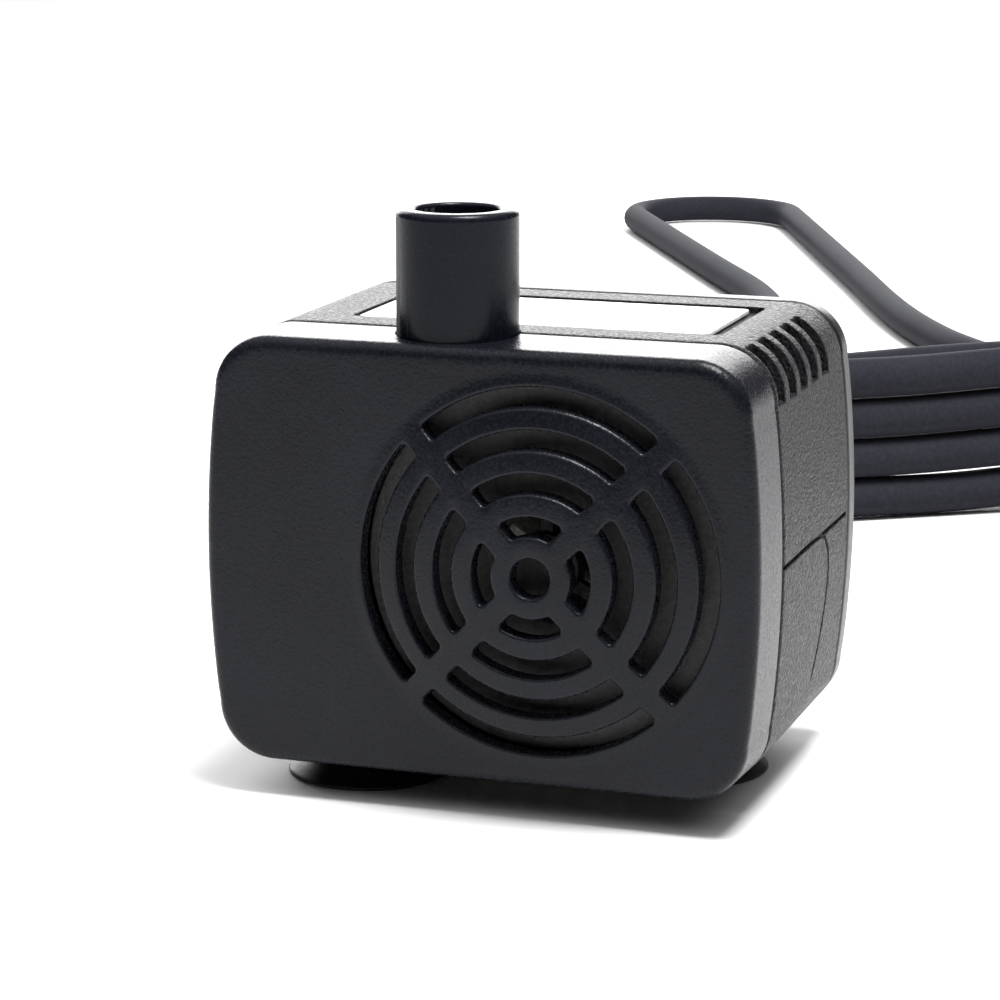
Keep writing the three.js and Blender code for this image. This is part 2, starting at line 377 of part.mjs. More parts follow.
// loop of lead that lies behind the hank, and the tail to the plug
const PLUG_S = -14, PLUG_O = -55, PLUG_Z = 8;
{
  const K = H(HR, HANK_R - R4), z4 = HANK_Z0 + CR + 3 * CORD_D + LIFT;
  const off = h => [K[0] + R4 * Math.sin(h * D), K[1] - R4 * Math.cos(h * D), z4];
  const q = H(PLUG_S, PLUG_O);
  const p = [off(101.75), off(104), [59.43, 221.35, 21.81], [54.80, 227.83, 20.61], [42.25, 240.95, 15.94], [29.70, 254.07, 10.17], [17.15, 267.18, 5.27], [4.60, 280.30, LIE], [-4.80, 291.40, LIE], [-14.00, 307.00, LIE], [-24.00, 327.60, LIE],
    [-42.86, 374.68, LIE], [-62.30, 423.19, LIE], [-77.16, 460.28, LIE], [-81.16, 470.27, LIE], [-86.19, 477.41, LIE], [-93.88, 481.55, LIE], [-102.61, 481.81, LIE], [-110.54, 478.14, LIE], [-115.98, 471.31, LIE], [-117.80, 462.77, LIE],
    [-115.59, 454.32, LIE], [-110.88, 445.39, LIE], [-96.13, 417.52, LIE], [-76.07, 379.60, LIE], [-56.60, 342.80, LIE], [-44.26, 311.42, LIE], [-31.92, 280.03, LIE], [-21.34, 253.13, LIE],
    [-19.41, 243.79, 3.71], [-20.73, 234.34, 4.92], [-25.15, 225.89, 6.36], [-32.15, 219.40, 7.55], [q[0] + 3 * U[0], q[1] + 3 * U[1], PLUG_Z], [q[0] + 0.05 * U[0], q[1] + 0.05 * U[1], PLUG_Z]];
  addMesh('cord_loop', tubeAlong(p, CR, 50), CORD);
}
// two ties, one round each side of the hank
for (const [nm, s0, oa, ob, n] of [['front', 36, RI, RO, 4], ['rear', 36, -RO, -RI, 3]]) {
  const w = 4, t = 0.75, g = 0.35, z0 = HANK_Z0 + LIFT, z1 = z0 + n * CORD_D;
  const ring = (d, hw, za, zb) => plateZ([H(s0 - hw, oa - d), H(s0 + hw, oa - d), H(s0 + hw, ob + d), H(s0 - hw, ob + d)], za, zb);
  const tie = toMan(ring(g + t, w / 2, z0 - g - t, z1 + g + t)).subtract(toMan(ring(g, w, z0 - g, z1 + g)));
  addMan('hank_tie_' + nm, tie, RUBBER);
}
// plug: strain relief, body and two flat blades, lying behind the hank
{
  const ang = HANK_A + Math.PI;       // direction in which the blades point
  const place = (g) => { g.rotateZ(ang); const o = H(PLUG_S, PLUG_O); return T(g, o[0], o[1], PLUG_Z); };
  // built along +X from the cord end
  const relief = new THREE.LatheGeometry([[0, 0.3], [3.5, 0.3], [3.6, 1.2], [4.6, 24], [5.2, 26], [0, 26]].map(p => new THREE.Vector2(...p)), 28);
  relief.rotateZ(-Math.PI / 2);
  const sh = new THREE.Shape([[25.5, -6], [30, -9.5], [40, -11.5], [53, -12.3], [56, -11.6], [57, -10], [57, 10], [56, 11.6], [53, 12.3], [40, 11.5], [30, 9.5], [25.5, 6]].map(p => new THREE.Vector2(...p)));
  const body = T(new THREE.ExtrudeGeometry(sh, { depth: 13.4, bevelEnabled: true, bevelThickness: 1.2, bevelSize: 1.2, bevelOffset: -1.2, bevelSegments: 2 }), 0, 0, -6.7);
  let pl = toMan(orient(body)).add(toMan(orient(relief)));
  for (const s of [-1, 1]) pl = cut(pl, box(50, 60, s * 6.35 - 0.95, s * 6.35 + 0.95, -3.4, 3.4));
  const pg = toGeo(pl);
  addMesh('plug_body', place(pg), CORD);
  for (const [nm, s] of [['a', 1], ['b', -1]]) addMesh('plug_blade_' + nm, place(box(50.3, 74, s * 6.35 - 0.75, s * 6.35 + 0.75, -3.15, 3.15)), BRASS);
}

export default group;
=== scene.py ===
import bpy, bmesh, math
from mathutils import Vector, Matrix
from mathutils.geometry import delaunay_2d_cdt


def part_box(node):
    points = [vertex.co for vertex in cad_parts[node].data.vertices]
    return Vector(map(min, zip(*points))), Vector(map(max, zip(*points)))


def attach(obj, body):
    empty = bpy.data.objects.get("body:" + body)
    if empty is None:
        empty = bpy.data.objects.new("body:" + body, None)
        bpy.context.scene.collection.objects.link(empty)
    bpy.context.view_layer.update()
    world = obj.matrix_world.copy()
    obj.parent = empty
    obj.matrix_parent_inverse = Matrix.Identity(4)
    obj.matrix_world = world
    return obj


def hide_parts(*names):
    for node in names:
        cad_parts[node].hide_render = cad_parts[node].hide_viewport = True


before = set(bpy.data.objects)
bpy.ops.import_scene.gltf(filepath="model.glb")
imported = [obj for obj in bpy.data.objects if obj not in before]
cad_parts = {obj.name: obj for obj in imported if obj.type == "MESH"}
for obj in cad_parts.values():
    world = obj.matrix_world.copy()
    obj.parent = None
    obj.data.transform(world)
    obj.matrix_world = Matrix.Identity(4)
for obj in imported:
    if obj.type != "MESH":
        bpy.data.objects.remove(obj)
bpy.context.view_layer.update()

# ---- shared dimensions in millimetres; places come from the frame's own boxes ----
def box_mm(n):
    a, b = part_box(n)
    return [v * 1000 for v in a], [v * 1000 for v in b]

_fc = box_mm("front_cover"); _mc = box_mm("main_case"); _rc = box_mm("rear_cover")
_vc = box_mm("volute_cover"); _im = box_mm("impeller"); _lb = box_mm("label_plate")
DOME_H = 2.9
Y0 = _fc[0][1] + DOME_H                       # plane of the flat front face
ZC = (_mc[0][2] + _mc[1][2]) / 2              # centre line of the body
AX = (_im[0][0] + _im[1][0]) / 2              # pump axis
COVER_W, COVER_H, CASE_W, CASE_H = 61.0, 46.3, _mc[1][0] - _mc[0][0], _mc[1][2] - _mc[0][2]
CORNER_R, BOW, WALL = 6.2, 1.1, 2.0
COVER_D = _fc[1][1] - Y0
CASE_Y0, CASE_Y1 = Y0 + 9.9, _mc[1][1]
REAR_Y0, REAR_Y1 = _rc[0][1], _rc[1][1]
TOP = _mc[1][2]
DOME_R = 20.8
NX, NY = -4.6, Y0 + 8.3
NOZ_R, NOZ_BORE, NOZ_TOP = 6.5, 4.45, _vc[1][2]
CUPS = [("front_left", -16.8, Y0 + 13.2), ("rear_left", -16.8, Y0 + 34.0), ("right", 16.3, Y0 + 25.4)]
CUP_R = 9.0
RINGS, RING_W, SPOKE_W, EYE_R = [6.4, 10.8, 15.2, 19.5], 2.0, 2.7, 2.1
GX, GZ = -14.0, ZC - 12.0
CORD_D = 6.0

# ---- camera ----
cam_data = bpy.data.cameras.new("camera")
cam_data.sensor_fit = "HORIZONTAL"
cam_data.sensor_width = 36.0
cam_data.lens = 3331.0 / 1000.0 * 36.0
cam_data.clip_start = 0.01
cam_data.clip_end = 100.0
cam = bpy.data.objects.new("camera", cam_data)
bpy.context.scene.collection.objects.link(cam)
bpy.context.scene.camera = cam
def aim(loc_mm, yaw, pitch, roll):
    yaw, pitch, roll = math.radians(yaw), math.radians(pitch), math.radians(roll)
    f = Vector((-math.sin(yaw) * math.cos(pitch), math.cos(yaw) * math.cos(pitch), -math.sin(pitch)))
    r = Vector((math.cos(yaw), math.sin(yaw), 0.0))
    u = r.cross(f)
    r2 = r * math.cos(roll) - u * math.sin(roll)
    u2 = r * math.sin(roll) + u * math.cos(roll)
    m = Matrix((r2, u2, -f)).transposed().to_4x4()
    m.translation = Vector(loc_mm) / 1000
    cam.matrix_world = m
aim((110.75, Y0 - 318.69, ZC + 79.95), 18.70, 12.16, 0.0)

# ---- route of the mains lead, repeated from the CAD source ----
HANK_C, HANK_A, HANK_RUN, HANK_R = (2.0, 176.0), math.radians(33), 90.0, 18.5
HANK_Z0 = 0.2
CR = CORD_D / 2
LIFT = 1.05
RO, RI = HANK_R + CR, HANK_R - CR
LIE = CR + 0.2
HR = HANK_RUN / 2
U = (math.cos(HANK_A), math.sin(HANK_A))
N = (math.sin(HANK_A), -math.cos(HANK_A))
def H(s, o):
    return (HANK_C[0] + U[0] * s + N[0] * o, HANK_C[1] + U[1] * s + N[1] * o)
GL_END = 78.0
PLUG_S, PLUG_O, PLUG_Z = -14.0, -55.0, 8.0
def sstep(t):
    t = max(0.0, min(1.0, t))
    return t * t * (3 - 2 * t)

def lift(s):
    """The right end of the hank lies on its two ties."""
    return 1.05 * sstep((s - 12) / 14)

def cord_points():
    """Points (x, y, z, heading) of the lead; the heading in plan is None where the neighbours decide it."""
    lv = [HANK_Z0 + CR + k * CORD_D for k in range(4)]
    A, Q = HANK_A, math.pi / 2
    # from the gland, down to the floor and along a wide bend onto the front run
    R1 = 40.0
    se = (GX + R1 * (1 - math.sin(A)) - HANK_C[0] - math.sin(A) * HANK_R) / math.cos(A)
    yc = HANK_C[1] + math.sin(A) * se - math.cos(A) * HANK_R - R1 * math.cos(A)
    p = [(GX, GL_END - 2.0, GZ, Q), (GX, GL_END + 2.0, GZ, Q)]
    for t in (0.15, 0.32, 0.5, 0.68, 0.86, 1.0):
        p.append((GX, GL_END + 5 + (yc - GL_END - 5) * t, GZ + (lv[0] - GZ) * sstep(t), Q))
    for h in (78, 66, 54, 43, 33):
        h = math.radians(h)
        p.append((GX + R1 - R1 * math.sin(h), yc + R1 * math.cos(h), lv[0], h))
    # turns: front run, right fold, back run, left fold with the climb to the next level
    for k in range(4):
        for s in ((8, 27, 45) if k == 0 else (-45, -22, 0, 22, 45)):
            p.append((*H(s, HANK_R), lv[k] + lift(s), A))
        if k == 3:
            break
        for a in (60, 30, 0, -30, -60):
            r = math.radians(a)
            p.append((*H(HR + HANK_R * math.cos(r), HANK_R * math.sin(r)), lv[k] + lift(HR), A + Q - r))
        for s in (45, 22, 0, -22, -45):
            p.append((*H(s, -HANK_R), lv[k] + lift(s), A + math.pi))
        for b in (64, 38, 12, -14, -39, -64):
            r = math.radians(b)
            p.append((*H(-HR - HANK_R * math.cos(r), -HANK_R * math.sin(r)), lv[k] + CORD_D * sstep((90 - b) / 178), A + math.pi + Q - r))
    # the top strand leaves by a wider bend at the right and comes down to the floor
    R4 = 28.0
    K = H(HR, HANK_R - R4)
    E = (4.6, 280.3)
    d = math.hypot(E[0] - K[0], E[1] - K[1])
    h4 = math.atan2(E[1] - K[1], E[0] - K[0]) + math.asin(R4 / d)
    h0 = math.radians(101)
    z4 = lv[3] + lift(HR)
    arc = R4 * (h4 - h0)
    total = arc + math.sqrt(d * d - R4 * R4)
    for h in (54, 77, 101):
        h = math.radians(h)
        p.append((K[0] + R4 * math.sin(h), K[1] - R4 * math.cos(h), z4, h))
    for j in (1, 2):
        h = h0 + (h4 - h0) * j / 2
        p.append((K[0] + R4 * math.sin(h), K[1] - R4 * math.cos(h), z4 + (LIE - z4) * sstep(R4 * (h - h0) / total), h))
    t0 = p[-1]
    for t in (0.25, 0.5, 0.75, 1.0):
        p.append((t0[0] + (E[0] - t0[0]) * t, t0[1] + (E[1] - t0[1]) * t, z4 + (LIE - z4) * sstep((arc + (total - arc) * t) / total), h4 if t < 1 else None))
    # long narrow loop on the floor
    for q in ((-4.8, 291.4), (-14.0, 307.0), (-24.0, 327.6)):
        p.append((*q, LIE, None))
    LC, LR = (-98.8, 463.2), 19.0
    def leave(K, R, E, side):
        """Heading of the straight line between point E and the bend about K; side 1 runs from E onto the bend."""
        d = math.hypot(K[0] - E[0], K[1] - E[1])
        f = math.atan2(K[1] - E[1], K[0] - E[0])
        return f - math.asin(R / d) if side > 0 else f + math.pi + math.asin(R / d)
    ha = leave(LC, LR, (-24.0, 327.6), 1) % (2 * math.pi)
    hb = leave(LC, LR, (-56.6, 342.8), -1) % (2 * math.pi)
    on = (LC[0] + LR * math.sin(ha), LC[1] - LR * math.cos(ha))
    off = (LC[0] + LR * math.sin(hb), LC[1] - LR * math.cos(hb))
    for t in (0.33, 0.67, 0.93):
        p.append((-24.0 + (on[0] + 24.0) * t, 327.6 + (on[1] - 327.6) * t, LIE, ha))
    for j in range(8):
        h = ha + (hb - ha) * j / 7
        p.append((LC[0] + LR * math.sin(h), LC[1] - LR * math.cos(h), LIE, h))
    for t in (0.08, 0.33, 0.67, 1.0):
        p.append((off[0] + (-56.6 - off[0]) * t, off[1] + (342.8 - off[1]) * t, LIE, hb if t < 1 else None))
    # last bend into the plug
    R2 = 28.0
    P0 = H(PLUG_S, PLUG_O)
    P1 = (P0[0] + 9 * U[0], P0[1] + 9 * U[1])
    hp = A + math.pi
    K2 = (P1[0] + R2 * math.sin(hp), P1[1] - R2 * math.cos(hp))
    d = math.hypot(K2[0] + 56.6, K2[1] - 342.8)
    h3 = math.atan2(K2[1] - 342.8, K2[0] + 56.6) + math.asin(R2 / d) + 2 * math.pi
    t1 = (K2[0] - R2 * math.sin(h3), K2[1] + R2 * math.cos(h3))
    for t in (0.35, 0.7):
        p.append((-56.6 + (t1[0] + 56.6) * t, 342.8 + (t1[1] - 342.8) * t, LIE, h3))
    for j in range(5):
        h = h3 + (hp - h3) * j / 4
        p.append((K2[0] - R2 * math.sin(h), K2[1] + R2 * math.cos(h), LIE + (PLUG_Z - LIE) * sstep(R2 * (h3 - h) / (R2 * (h3 - hp) + 9)), h))
    p += [(P0[0] + 3 * U[0], P0[1] + 3 * U[1], PLUG_Z, hp), (P0[0] - 2 * U[0], P0[1] - 2 * U[1], PLUG_Z, hp)]
    return [(x, y + Y0, z, h) for x, y, z, h in p]

def with_handles(p):
    """Bezier points (point, left handle, right handle) through p."""
    out = []
    for i, q in enumerate(p):
        c = Vector(q[:3])
        a = c - Vector(p[i - 1][:3]) if i else Vector(p[1][:3]) - c
        b = Vector(p[i + 1][:3]) - c if i < len(p) - 1 else a.copy()
        t = (a.normalized() + b.normalized()).normalized()
        if q[3] is not None:
            flat = math.hypot(t.x, t.y)
            t = Vector((math.cos(q[3]) * flat, math.sin(q[3]) * flat, t.z))
        out.append((c, c - t * a.length * 0.339, c + t * b.length * 0.339))
    return out

def curve_object(name, pts, radius_mm, resolution=8, ring=8):
    cu = bpy.data.curves.new(name, "CURVE")
    cu.dimensions = "3D"
    sp = cu.splines.new("BEZIER")
    sp.bezier_points.add(len(pts) - 1)
    for b, (c, left, right) in zip(sp.bezier_points, with_handles(pts)):
        b.handle_left_type = b.handle_right_type = "FREE"
        b.co, b.handle_left, b.handle_right = c / 1000, left / 1000, right / 1000
    cu.resolution_u = resolution
    cu.bevel_depth = radius_mm / 1000
    cu.bevel_resolution = ring
    cu.use_fill_caps = True
    ob = bpy.data.objects.new(name, cu)
    bpy.context.scene.collection.objects.link(ob)
    return ob

def bezier_length(cu):
    from mathutils.geometry import interpolate_bezier
    bp = cu.splines[0].bezier_points
    total = 0.0
    for a, b in zip(bp[:-1], bp[1:]):
        q = interpolate_bezier(a.co, a.handle_right, b.handle_left, b.co, 24)
        total += sum((v - u).length for u, v in zip(q[:-1], q[1:]))
    return total

cord = curve_object("mains_lead", cord_points(), CR - 0.05)
bpy.context.view_layer.update()
CORD_LEN = bezier_length(cord.data)
print("cord length", round(CORD_LEN, 4))

# ---- materials ----
def new_mat(name):
    m = bpy.data.materials.new(name)
    m.use_nodes = True
    nt = m.node_tree
    for n in list(nt.nodes):
        nt.nodes.remove(n)
    out = nt.nodes.new("ShaderNodeOutputMaterial")
    bs = nt.nodes.new("ShaderNodeBsdfPrincipled")
    nt.links.new(bs.outputs["BSDF"], out.inputs["Surface"])
    return m, nt, bs

def noise(nt, vec, scale, detail=2.0, rough=0.5, dist=0.0):
    n = nt.nodes.new("ShaderNodeTexNoise")
    n.inputs["Scale"].default_value = scale
    n.inputs["Detail"].default_value = detail
    n.inputs["Roughness"].default_value = rough
    n.inputs["Distortion"].default_value = dist
    nt.links.new(vec, n.inputs["Vector"])
    return n.outputs["Fac"]

def ramp(nt, fac, stops):
    r = nt.nodes.new("ShaderNodeValToRGB")
    els = r.color_ramp.elements
    while len(els) < len(stops):
        els.new(0.5)
    for e, (p, c) in zip(els, stops):
        e.position = p
        e.color = (*c, 1.0) if len(c) == 3 else c
    nt.links.new(fac, r.inputs["Fac"])
    return r.outputs["Color"]

def remap(nt, fac, lo, hi, a=0.0, b=1.0):
    m = nt.nodes.new("ShaderNodeMapRange")
    m.inputs["From Min"].default_value = a
    m.inputs["From Max"].default_value = b
    m.inputs["To Min"].default_value = lo
    m.inputs["To Max"].default_value = hi
    nt.links.new(fac, m.inputs["Value"])
    return m.outputs["Result"]

def bump(nt, height, strength, dist, prev=None):
    b = nt.nodes.new("ShaderNodeBump")
    b.inputs["Strength"].default_value = strength
    b.inputs["Distance"].default_value = dist
    nt.links.new(height, b.inputs["Height"])
    if prev is not None:
        nt.links.new(prev, b.inputs["Normal"])
    return b.outputs["Normal"]

def coords(nt):
    return nt.nodes.new("ShaderNodeTexCoord").outputs["Object"]

def stretch(nt, vec, sx, sy, sz):
    m = nt.nodes.new("ShaderNodeMapping")
    m.inputs["Scale"].default_value = (sx, sy, sz)
    nt.links.new(vec, m.inputs["Vector"])
    return m.outputs["Vector"]

def moulded(name, base, rough, grain, depth, cloud=60.0, spread=0.06, spec=0.5, speck=0.0, vary=1.0):
    """Moulded plastic or rubber: fine grain in the bump, gloss and colour, soft clouds in colour."""
    m, nt, bs = new_mat(name)
    v = coords(nt)
    fine = noise(nt, v, grain, 3.0, 0.6)
    soft = noise(nt, v, cloud, 4.0, 0.55)
    dark = tuple(c * (1.0 - 0.38 * vary) for c in base)
    light = tuple(c * (1.0 + 0.42 * vary) for c in base)
    mix = nt.nodes.new("ShaderNodeMath"); mix.operation = "MULTIPLY_ADD"
    nt.links.new(fine, mix.inputs[0]); mix.inputs[1].default_value = 0.9
    low = nt.nodes.new("ShaderNodeMath"); low.operation = "MULTIPLY_ADD"
    nt.links.new(soft, low.inputs[0]); low.inputs[1].default_value = 0.6; low.inputs[2].default_value = -0.25
    nt.links.new(low.outputs[0], mix.inputs[2])
    nt.links.new(ramp(nt, mix.outputs[0], [(0.3, dark), (0.7, light)]), bs.inputs["Base Color"])
    nt.links.new(remap(nt, fine, rough - spread, rough + spread, 0.3, 0.7), bs.inputs["Roughness"])
    nrm = bump(nt, fine, 1.0, depth)
    nrm = bump(nt, noise(nt, v, grain * 0.22, 2.0), 0.5, depth * 0.9, nrm)
    if speck:
        vo = nt.nodes.new("ShaderNodeTexVoronoi")
        vo.inputs["Scale"].default_value = speck
        nt.links.new(v, vo.inputs["Vector"])
        nrm = bump(nt, vo.outputs["Distance"], 0.55, depth * 1.3, nrm)
    nt.links.new(nrm, bs.inputs["Normal"])
    bs.inputs["Specular IOR Level"].default_value = spec
    return m

M_COVER = moulded("cover_satin_plastic", (0.0076, 0.0082, 0.0116), 0.25, 3000.0, 0.00005, 55.0, 0.09, 0.18)
M_SHELL = moulded("case_textured_plastic", (0.0105, 0.0110, 0.0125), 0.40, 2200.0, 0.00024, 60.0, 0.14, 0.22, 2800.0)
M_REAR = moulded("rear_cover_plastic", (0.0090, 0.0095, 0.0110), 0.32, 2200.0, 0.00004, 60.0, 0.06, 0.45)
M_NOZZLE = moulded("outlet_plastic", (0.0058, 0.0068, 0.0110), 0.24, 2400.0, 0.000015, 60.0, 0.05, 0.16)
M_RUBBER = moulded("black_rubber", (0.0110, 0.0110, 0.0115), 0.58, 1800.0, 0.00004, 80.0, 0.08, 0.35)
M_CUP = moulded("suction_cup_rubber", (0.0085, 0.0085, 0.0090), 0.44, 1400.0, 0.00002, 90.0, 0.06, 0.4)
M_CORD = moulded("cord_pvc", (0.0275, 0.0282, 0.0352), 0.50, 1500.0, 0.00002, 45.0, 0.06, 0.012, vary=0.4)
# the chamber's colour is lighter than its near-black plastic: painted haze, glare light seen through the inlet slots
M_PLATE_PAINTED_HAZE = moulded("volute_plastic", (0.0480, 0.0480, 0.0490), 0.55, 1500.0, 0.00012, 60.0, 0.06, 0.45)
M_PLUG = moulded("plug_pvc", (0.0130, 0.0130, 0.0150), 0.48, 1600.0, 0.00006, 70.0, 0.07, 0.42)
M_NYLON = moulded("white_nylon", (0.62, 0.60, 0.55), 0.38, 1100.0, 0.00003, 90.0, 0.08, 0.5)
M_EPOXY = moulded("potting_epoxy", (0.020, 0.020, 0.018), 0.22, 300.0, 0.00008, 120.0, 0.06, 0.5)
M_CERAMIC = moulded("ceramic", (0.80, 0.78, 0.72), 0.16, 2200.0, 0.00001, 200.0, 0.04, 0.6)
M_WIRE = moulded("wire_insulation", (0.13, 0.05, 0.02), 0.42, 1500.0, 0.00002, 200.0, 0.06, 0.5)
M_LABEL = moulded("blank_label_film", (0.80, 0.80, 0.795), 0.42, 1800.0, 0.000012, 45.0, 0.05, 0.5)

def magnet_mat():
    m, nt, bs = new_mat("ferrite_magnet")
    v = coords(nt)
    lines = noise(nt, stretch(nt, v, 200.0, 2600.0, 200.0), 1.0, 3.0, 0.6)
    grit = noise(nt, v, 1500.0, 4.0, 0.6)
    nt.links.new(ramp(nt, grit, [(0.3, (0.030, 0.030, 0.033)), (0.7, (0.075, 0.075, 0.08))]), bs.inputs["Base Color"])
    nt.links.new(remap(nt, lines, 0.38, 0.62, 0.3, 0.7), bs.inputs["Roughness"])
    bs.inputs["Metallic"].default_value = 0.35
    nt.links.new(bump(nt, grit, 0.6, 0.00004, bump(nt, lines, 0.5, 0.00003)), bs.inputs["Normal"])
    return m

def lamination_mat():
    m, nt, bs = new_mat("lamination_steel")
    v = coords(nt)
    w = nt.nodes.new("ShaderNodeTexWave")
    w.wave_type = "BANDS"
    w.bands_direction = "Y"
    w.inputs["Scale"].default_value = 620.0
    w.inputs["Distortion"].default_value = 0.4
    nt.links.new(v, w.inputs["Vector"])
    cloud = noise(nt, v, 220.0, 4.0)
    nt.links.new(ramp(nt, cloud, [(0.3, (0.20, 0.20, 0.205)), (0.7, (0.36, 0.355, 0.35))]), bs.inputs["Base Color"])
    nt.links.new(remap(nt, cloud, 0.28, 0.5, 0.3, 0.7), bs.inputs["Roughness"])
    bs.inputs["Metallic"].default_value = 0.85
    nt.links.new(bump(nt, w.outputs["Fac"], 0.8, 0.00008), bs.inputs["Normal"])
    return m

def copper_mat():
    m, nt, bs = new_mat("enamelled_copper")
    v = coords(nt)
    w = nt.nodes.new("ShaderNodeTexWave")
    w.wave_type = "BANDS"
    w.bands_direction = "X"
    w.inputs["Scale"].default_value = 900.0
    w.inputs["Distortion"].default_value = 0.8
    w.inputs["Detail"].default_value = 1.5
    nt.links.new(v, w.inputs["Vector"])
    nt.links.new(ramp(nt, w.outputs["Fac"], [(0.1, (0.16, 0.055, 0.02)), (0.8, (0.58, 0.24, 0.09))]), bs.inputs["Base Color"])
    nt.links.new(remap(nt, noise(nt, v, 400.0, 3.0), 0.22, 0.42, 0.3, 0.7), bs.inputs["Roughness"])
    bs.inputs["Metallic"].default_value = 0.9
    nt.links.new(bump(nt, w.outputs["Fac"], 1.0, 0.00012), bs.inputs["Normal"])
    return m

def brass_mat():
    m, nt, bs = new_mat("plug_blade_brass")
    v = coords(nt)
    s = noise(nt, stretch(nt, v, 900.0, 900.0, 3200.0), 1.0, 3.0, 0.6)
    nt.links.new(ramp(nt, noise(nt, v, 160.0, 4.0), [(0.3, (0.50, 0.36, 0.15)), (0.7, (0.68, 0.52, 0.25))]), bs.inputs["Base Color"])
    nt.links.new(remap(nt, s, 0.18, 0.36, 0.3, 0.7), bs.inputs["Roughness"])
    bs.inputs["Metallic"].default_value = 1.0
    nt.links.new(bump(nt, s, 0.5, 0.00002), bs.inputs["Normal"])
    return m

M_MAGNET, M_LAM, M_COPPER, M_BRASS = magnet_mat(), lamination_mat(), copper_mat(), brass_mat()

# ---- mesh helpers (millimetres in, metres out) ----
def make(name, verts, faces, mat, smooth=35.0):
    me = bpy.data.meshes.new(name)
    me.from_pydata([tuple(c / 1000 for c in v) for v in verts], [], faces)
    me.update()
    ob = bpy.data.objects.new(name, me)
    bpy.context.scene.collection.objects.link(ob)
    if mat is not None:
        me.materials.append(mat)
    bm = bmesh.new(); bm.from_mesh(me)
    bmesh.ops.remove_doubles(bm, verts=bm.verts, dist=1e-7)
    bmesh.ops.recalc_face_normals(bm, faces=bm.faces)
    bm.to_mesh(me); bm.free()
    if smooth:
        soften(ob, smooth)
    return ob

def soften(ob, angle=35.0):
    me = ob.data
    me.shade_smooth()
    me.set_sharp_from_angle(angle=math.radians(angle))

def bake(ob):
    """Applies every modifier of ob to its mesh."""
    dg = bpy.context.evaluated_depsgraph_get()
    me = bpy.data.meshes.new_from_object(ob.evaluated_get(dg))
    old = ob.data
    ob.modifiers.clear()
    ob.data = me
    bpy.data.meshes.remove(old)
    return ob

def carve(ob, cutters, op="DIFFERENCE"):
    for c in cutters:
        md = ob.modifiers.new("b", "BOOLEAN")
        md.operation = op
        md.solver = "EXACT"
        md.object = c
        bake(ob)
    for c in cutters:
        me = c.data
        bpy.data.objects.remove(c)
        bpy.data.meshes.remove(me)
    bm = bmesh.new(); bm.from_mesh(ob.data)
    bmesh.ops.remove_doubles(bm, verts=bm.verts, dist=2e-7)
    bmesh.ops.dissolve_degenerate(bm, edges=bm.edges, dist=1e-7)
    bm.to_mesh(ob.data); bm.free()
    return ob

def drop_stray(ob):
    """Removes the few faces that hang from a closed shell by an open edge."""
    bm = bmesh.new(); bm.from_mesh(ob.data)
    stray = [f for f in bm.faces if any(len(e.link_faces) == 1 for e in f.edges)]
    if 0 < len(stray) < 12:
        bmesh.ops.delete(bm, geom=stray, context="FACES")
        bm.to_mesh(ob.data)
    bm.free()

def edge_round(ob, width_mm, angle=50.0, segments=2):
    md = ob.modifiers.new("v", "BEVEL")
    md.width = width_mm / 1000
    md.segments = segments
    md.limit_method = "ANGLE"
    md.angle_limit = math.radians(angle)
    md.use_clamp_overlap = False
    md.miter_outer = "MITER_ARC"
    bake(ob)
    return ob

def weigh(ob):
    md = ob.modifiers.new("w", "WEIGHTED_NORMAL")
    md.keep_sharp = True
    md.weight = 80
    bake(ob)
    return ob

def outline(w, h, r, bow, n=16, ns=22):
    """Rounded outline in x and z about the body's centre line, sides bowed outwards."""
    hw, hh = w / 2, h / 2
    cx, cz = hw - r - bow, hh - r
    pts = []
    def side(s):
        for i in range(1, ns):
            t = i / ns
            pts.append((s * (hw - bow + bow * math.sin(math.pi * t) ** 0.8), (-cz + 2 * cz * t) * s))
    def corner(sx, sz, a0):
        for i in range(n + 1):
            a = a0 + i / n * math.pi / 2
            pts.append((sx * cx + r * math.cos(a), sz * cz + r * math.sin(a)))
    def flat(sz, s):
        for i in range(1, 12):
            t = i / 12
            pts.append((s * (cx - 2 * cx * t), sz * hh))
    side(1); corner(1, 1, 0); flat(1, 1); corner(-1, 1, math.pi / 2); side(-1); corner(-1, -1, math.pi); flat(-1, -1); corner(1, -1, 1.5 * math.pi)
    return pts

def rings_to_mesh(name, rings, mat, cap0=True, cap1=True, smooth=35.0):
    """rings: lists of equal length of (x, y, z); joined in order and capped."""
    n = len(rings[0]); v = []; f = []
    for r in rings:
        v += r
    for k in range(len(rings) - 1):
        for i in range(n):
            a, b = k * n + i, k * n + (i + 1) % n
            f.append((a, b, b + n, a + n))
    if cap0:
        f.append(tuple(range(n)))
    if cap1:
        f.append(tuple(range((len(rings) - 1) * n, len(rings) * n)))
    return make(name, v, f, mat, smooth)

def loft(name, secs, mat, smooth=35.0):
    """secs: (y, outline) pairs."""
    return rings_to_mesh(name, [[(p[0], y, ZC + p[1]) for p in o] for y, o in secs], mat, smooth=smooth)

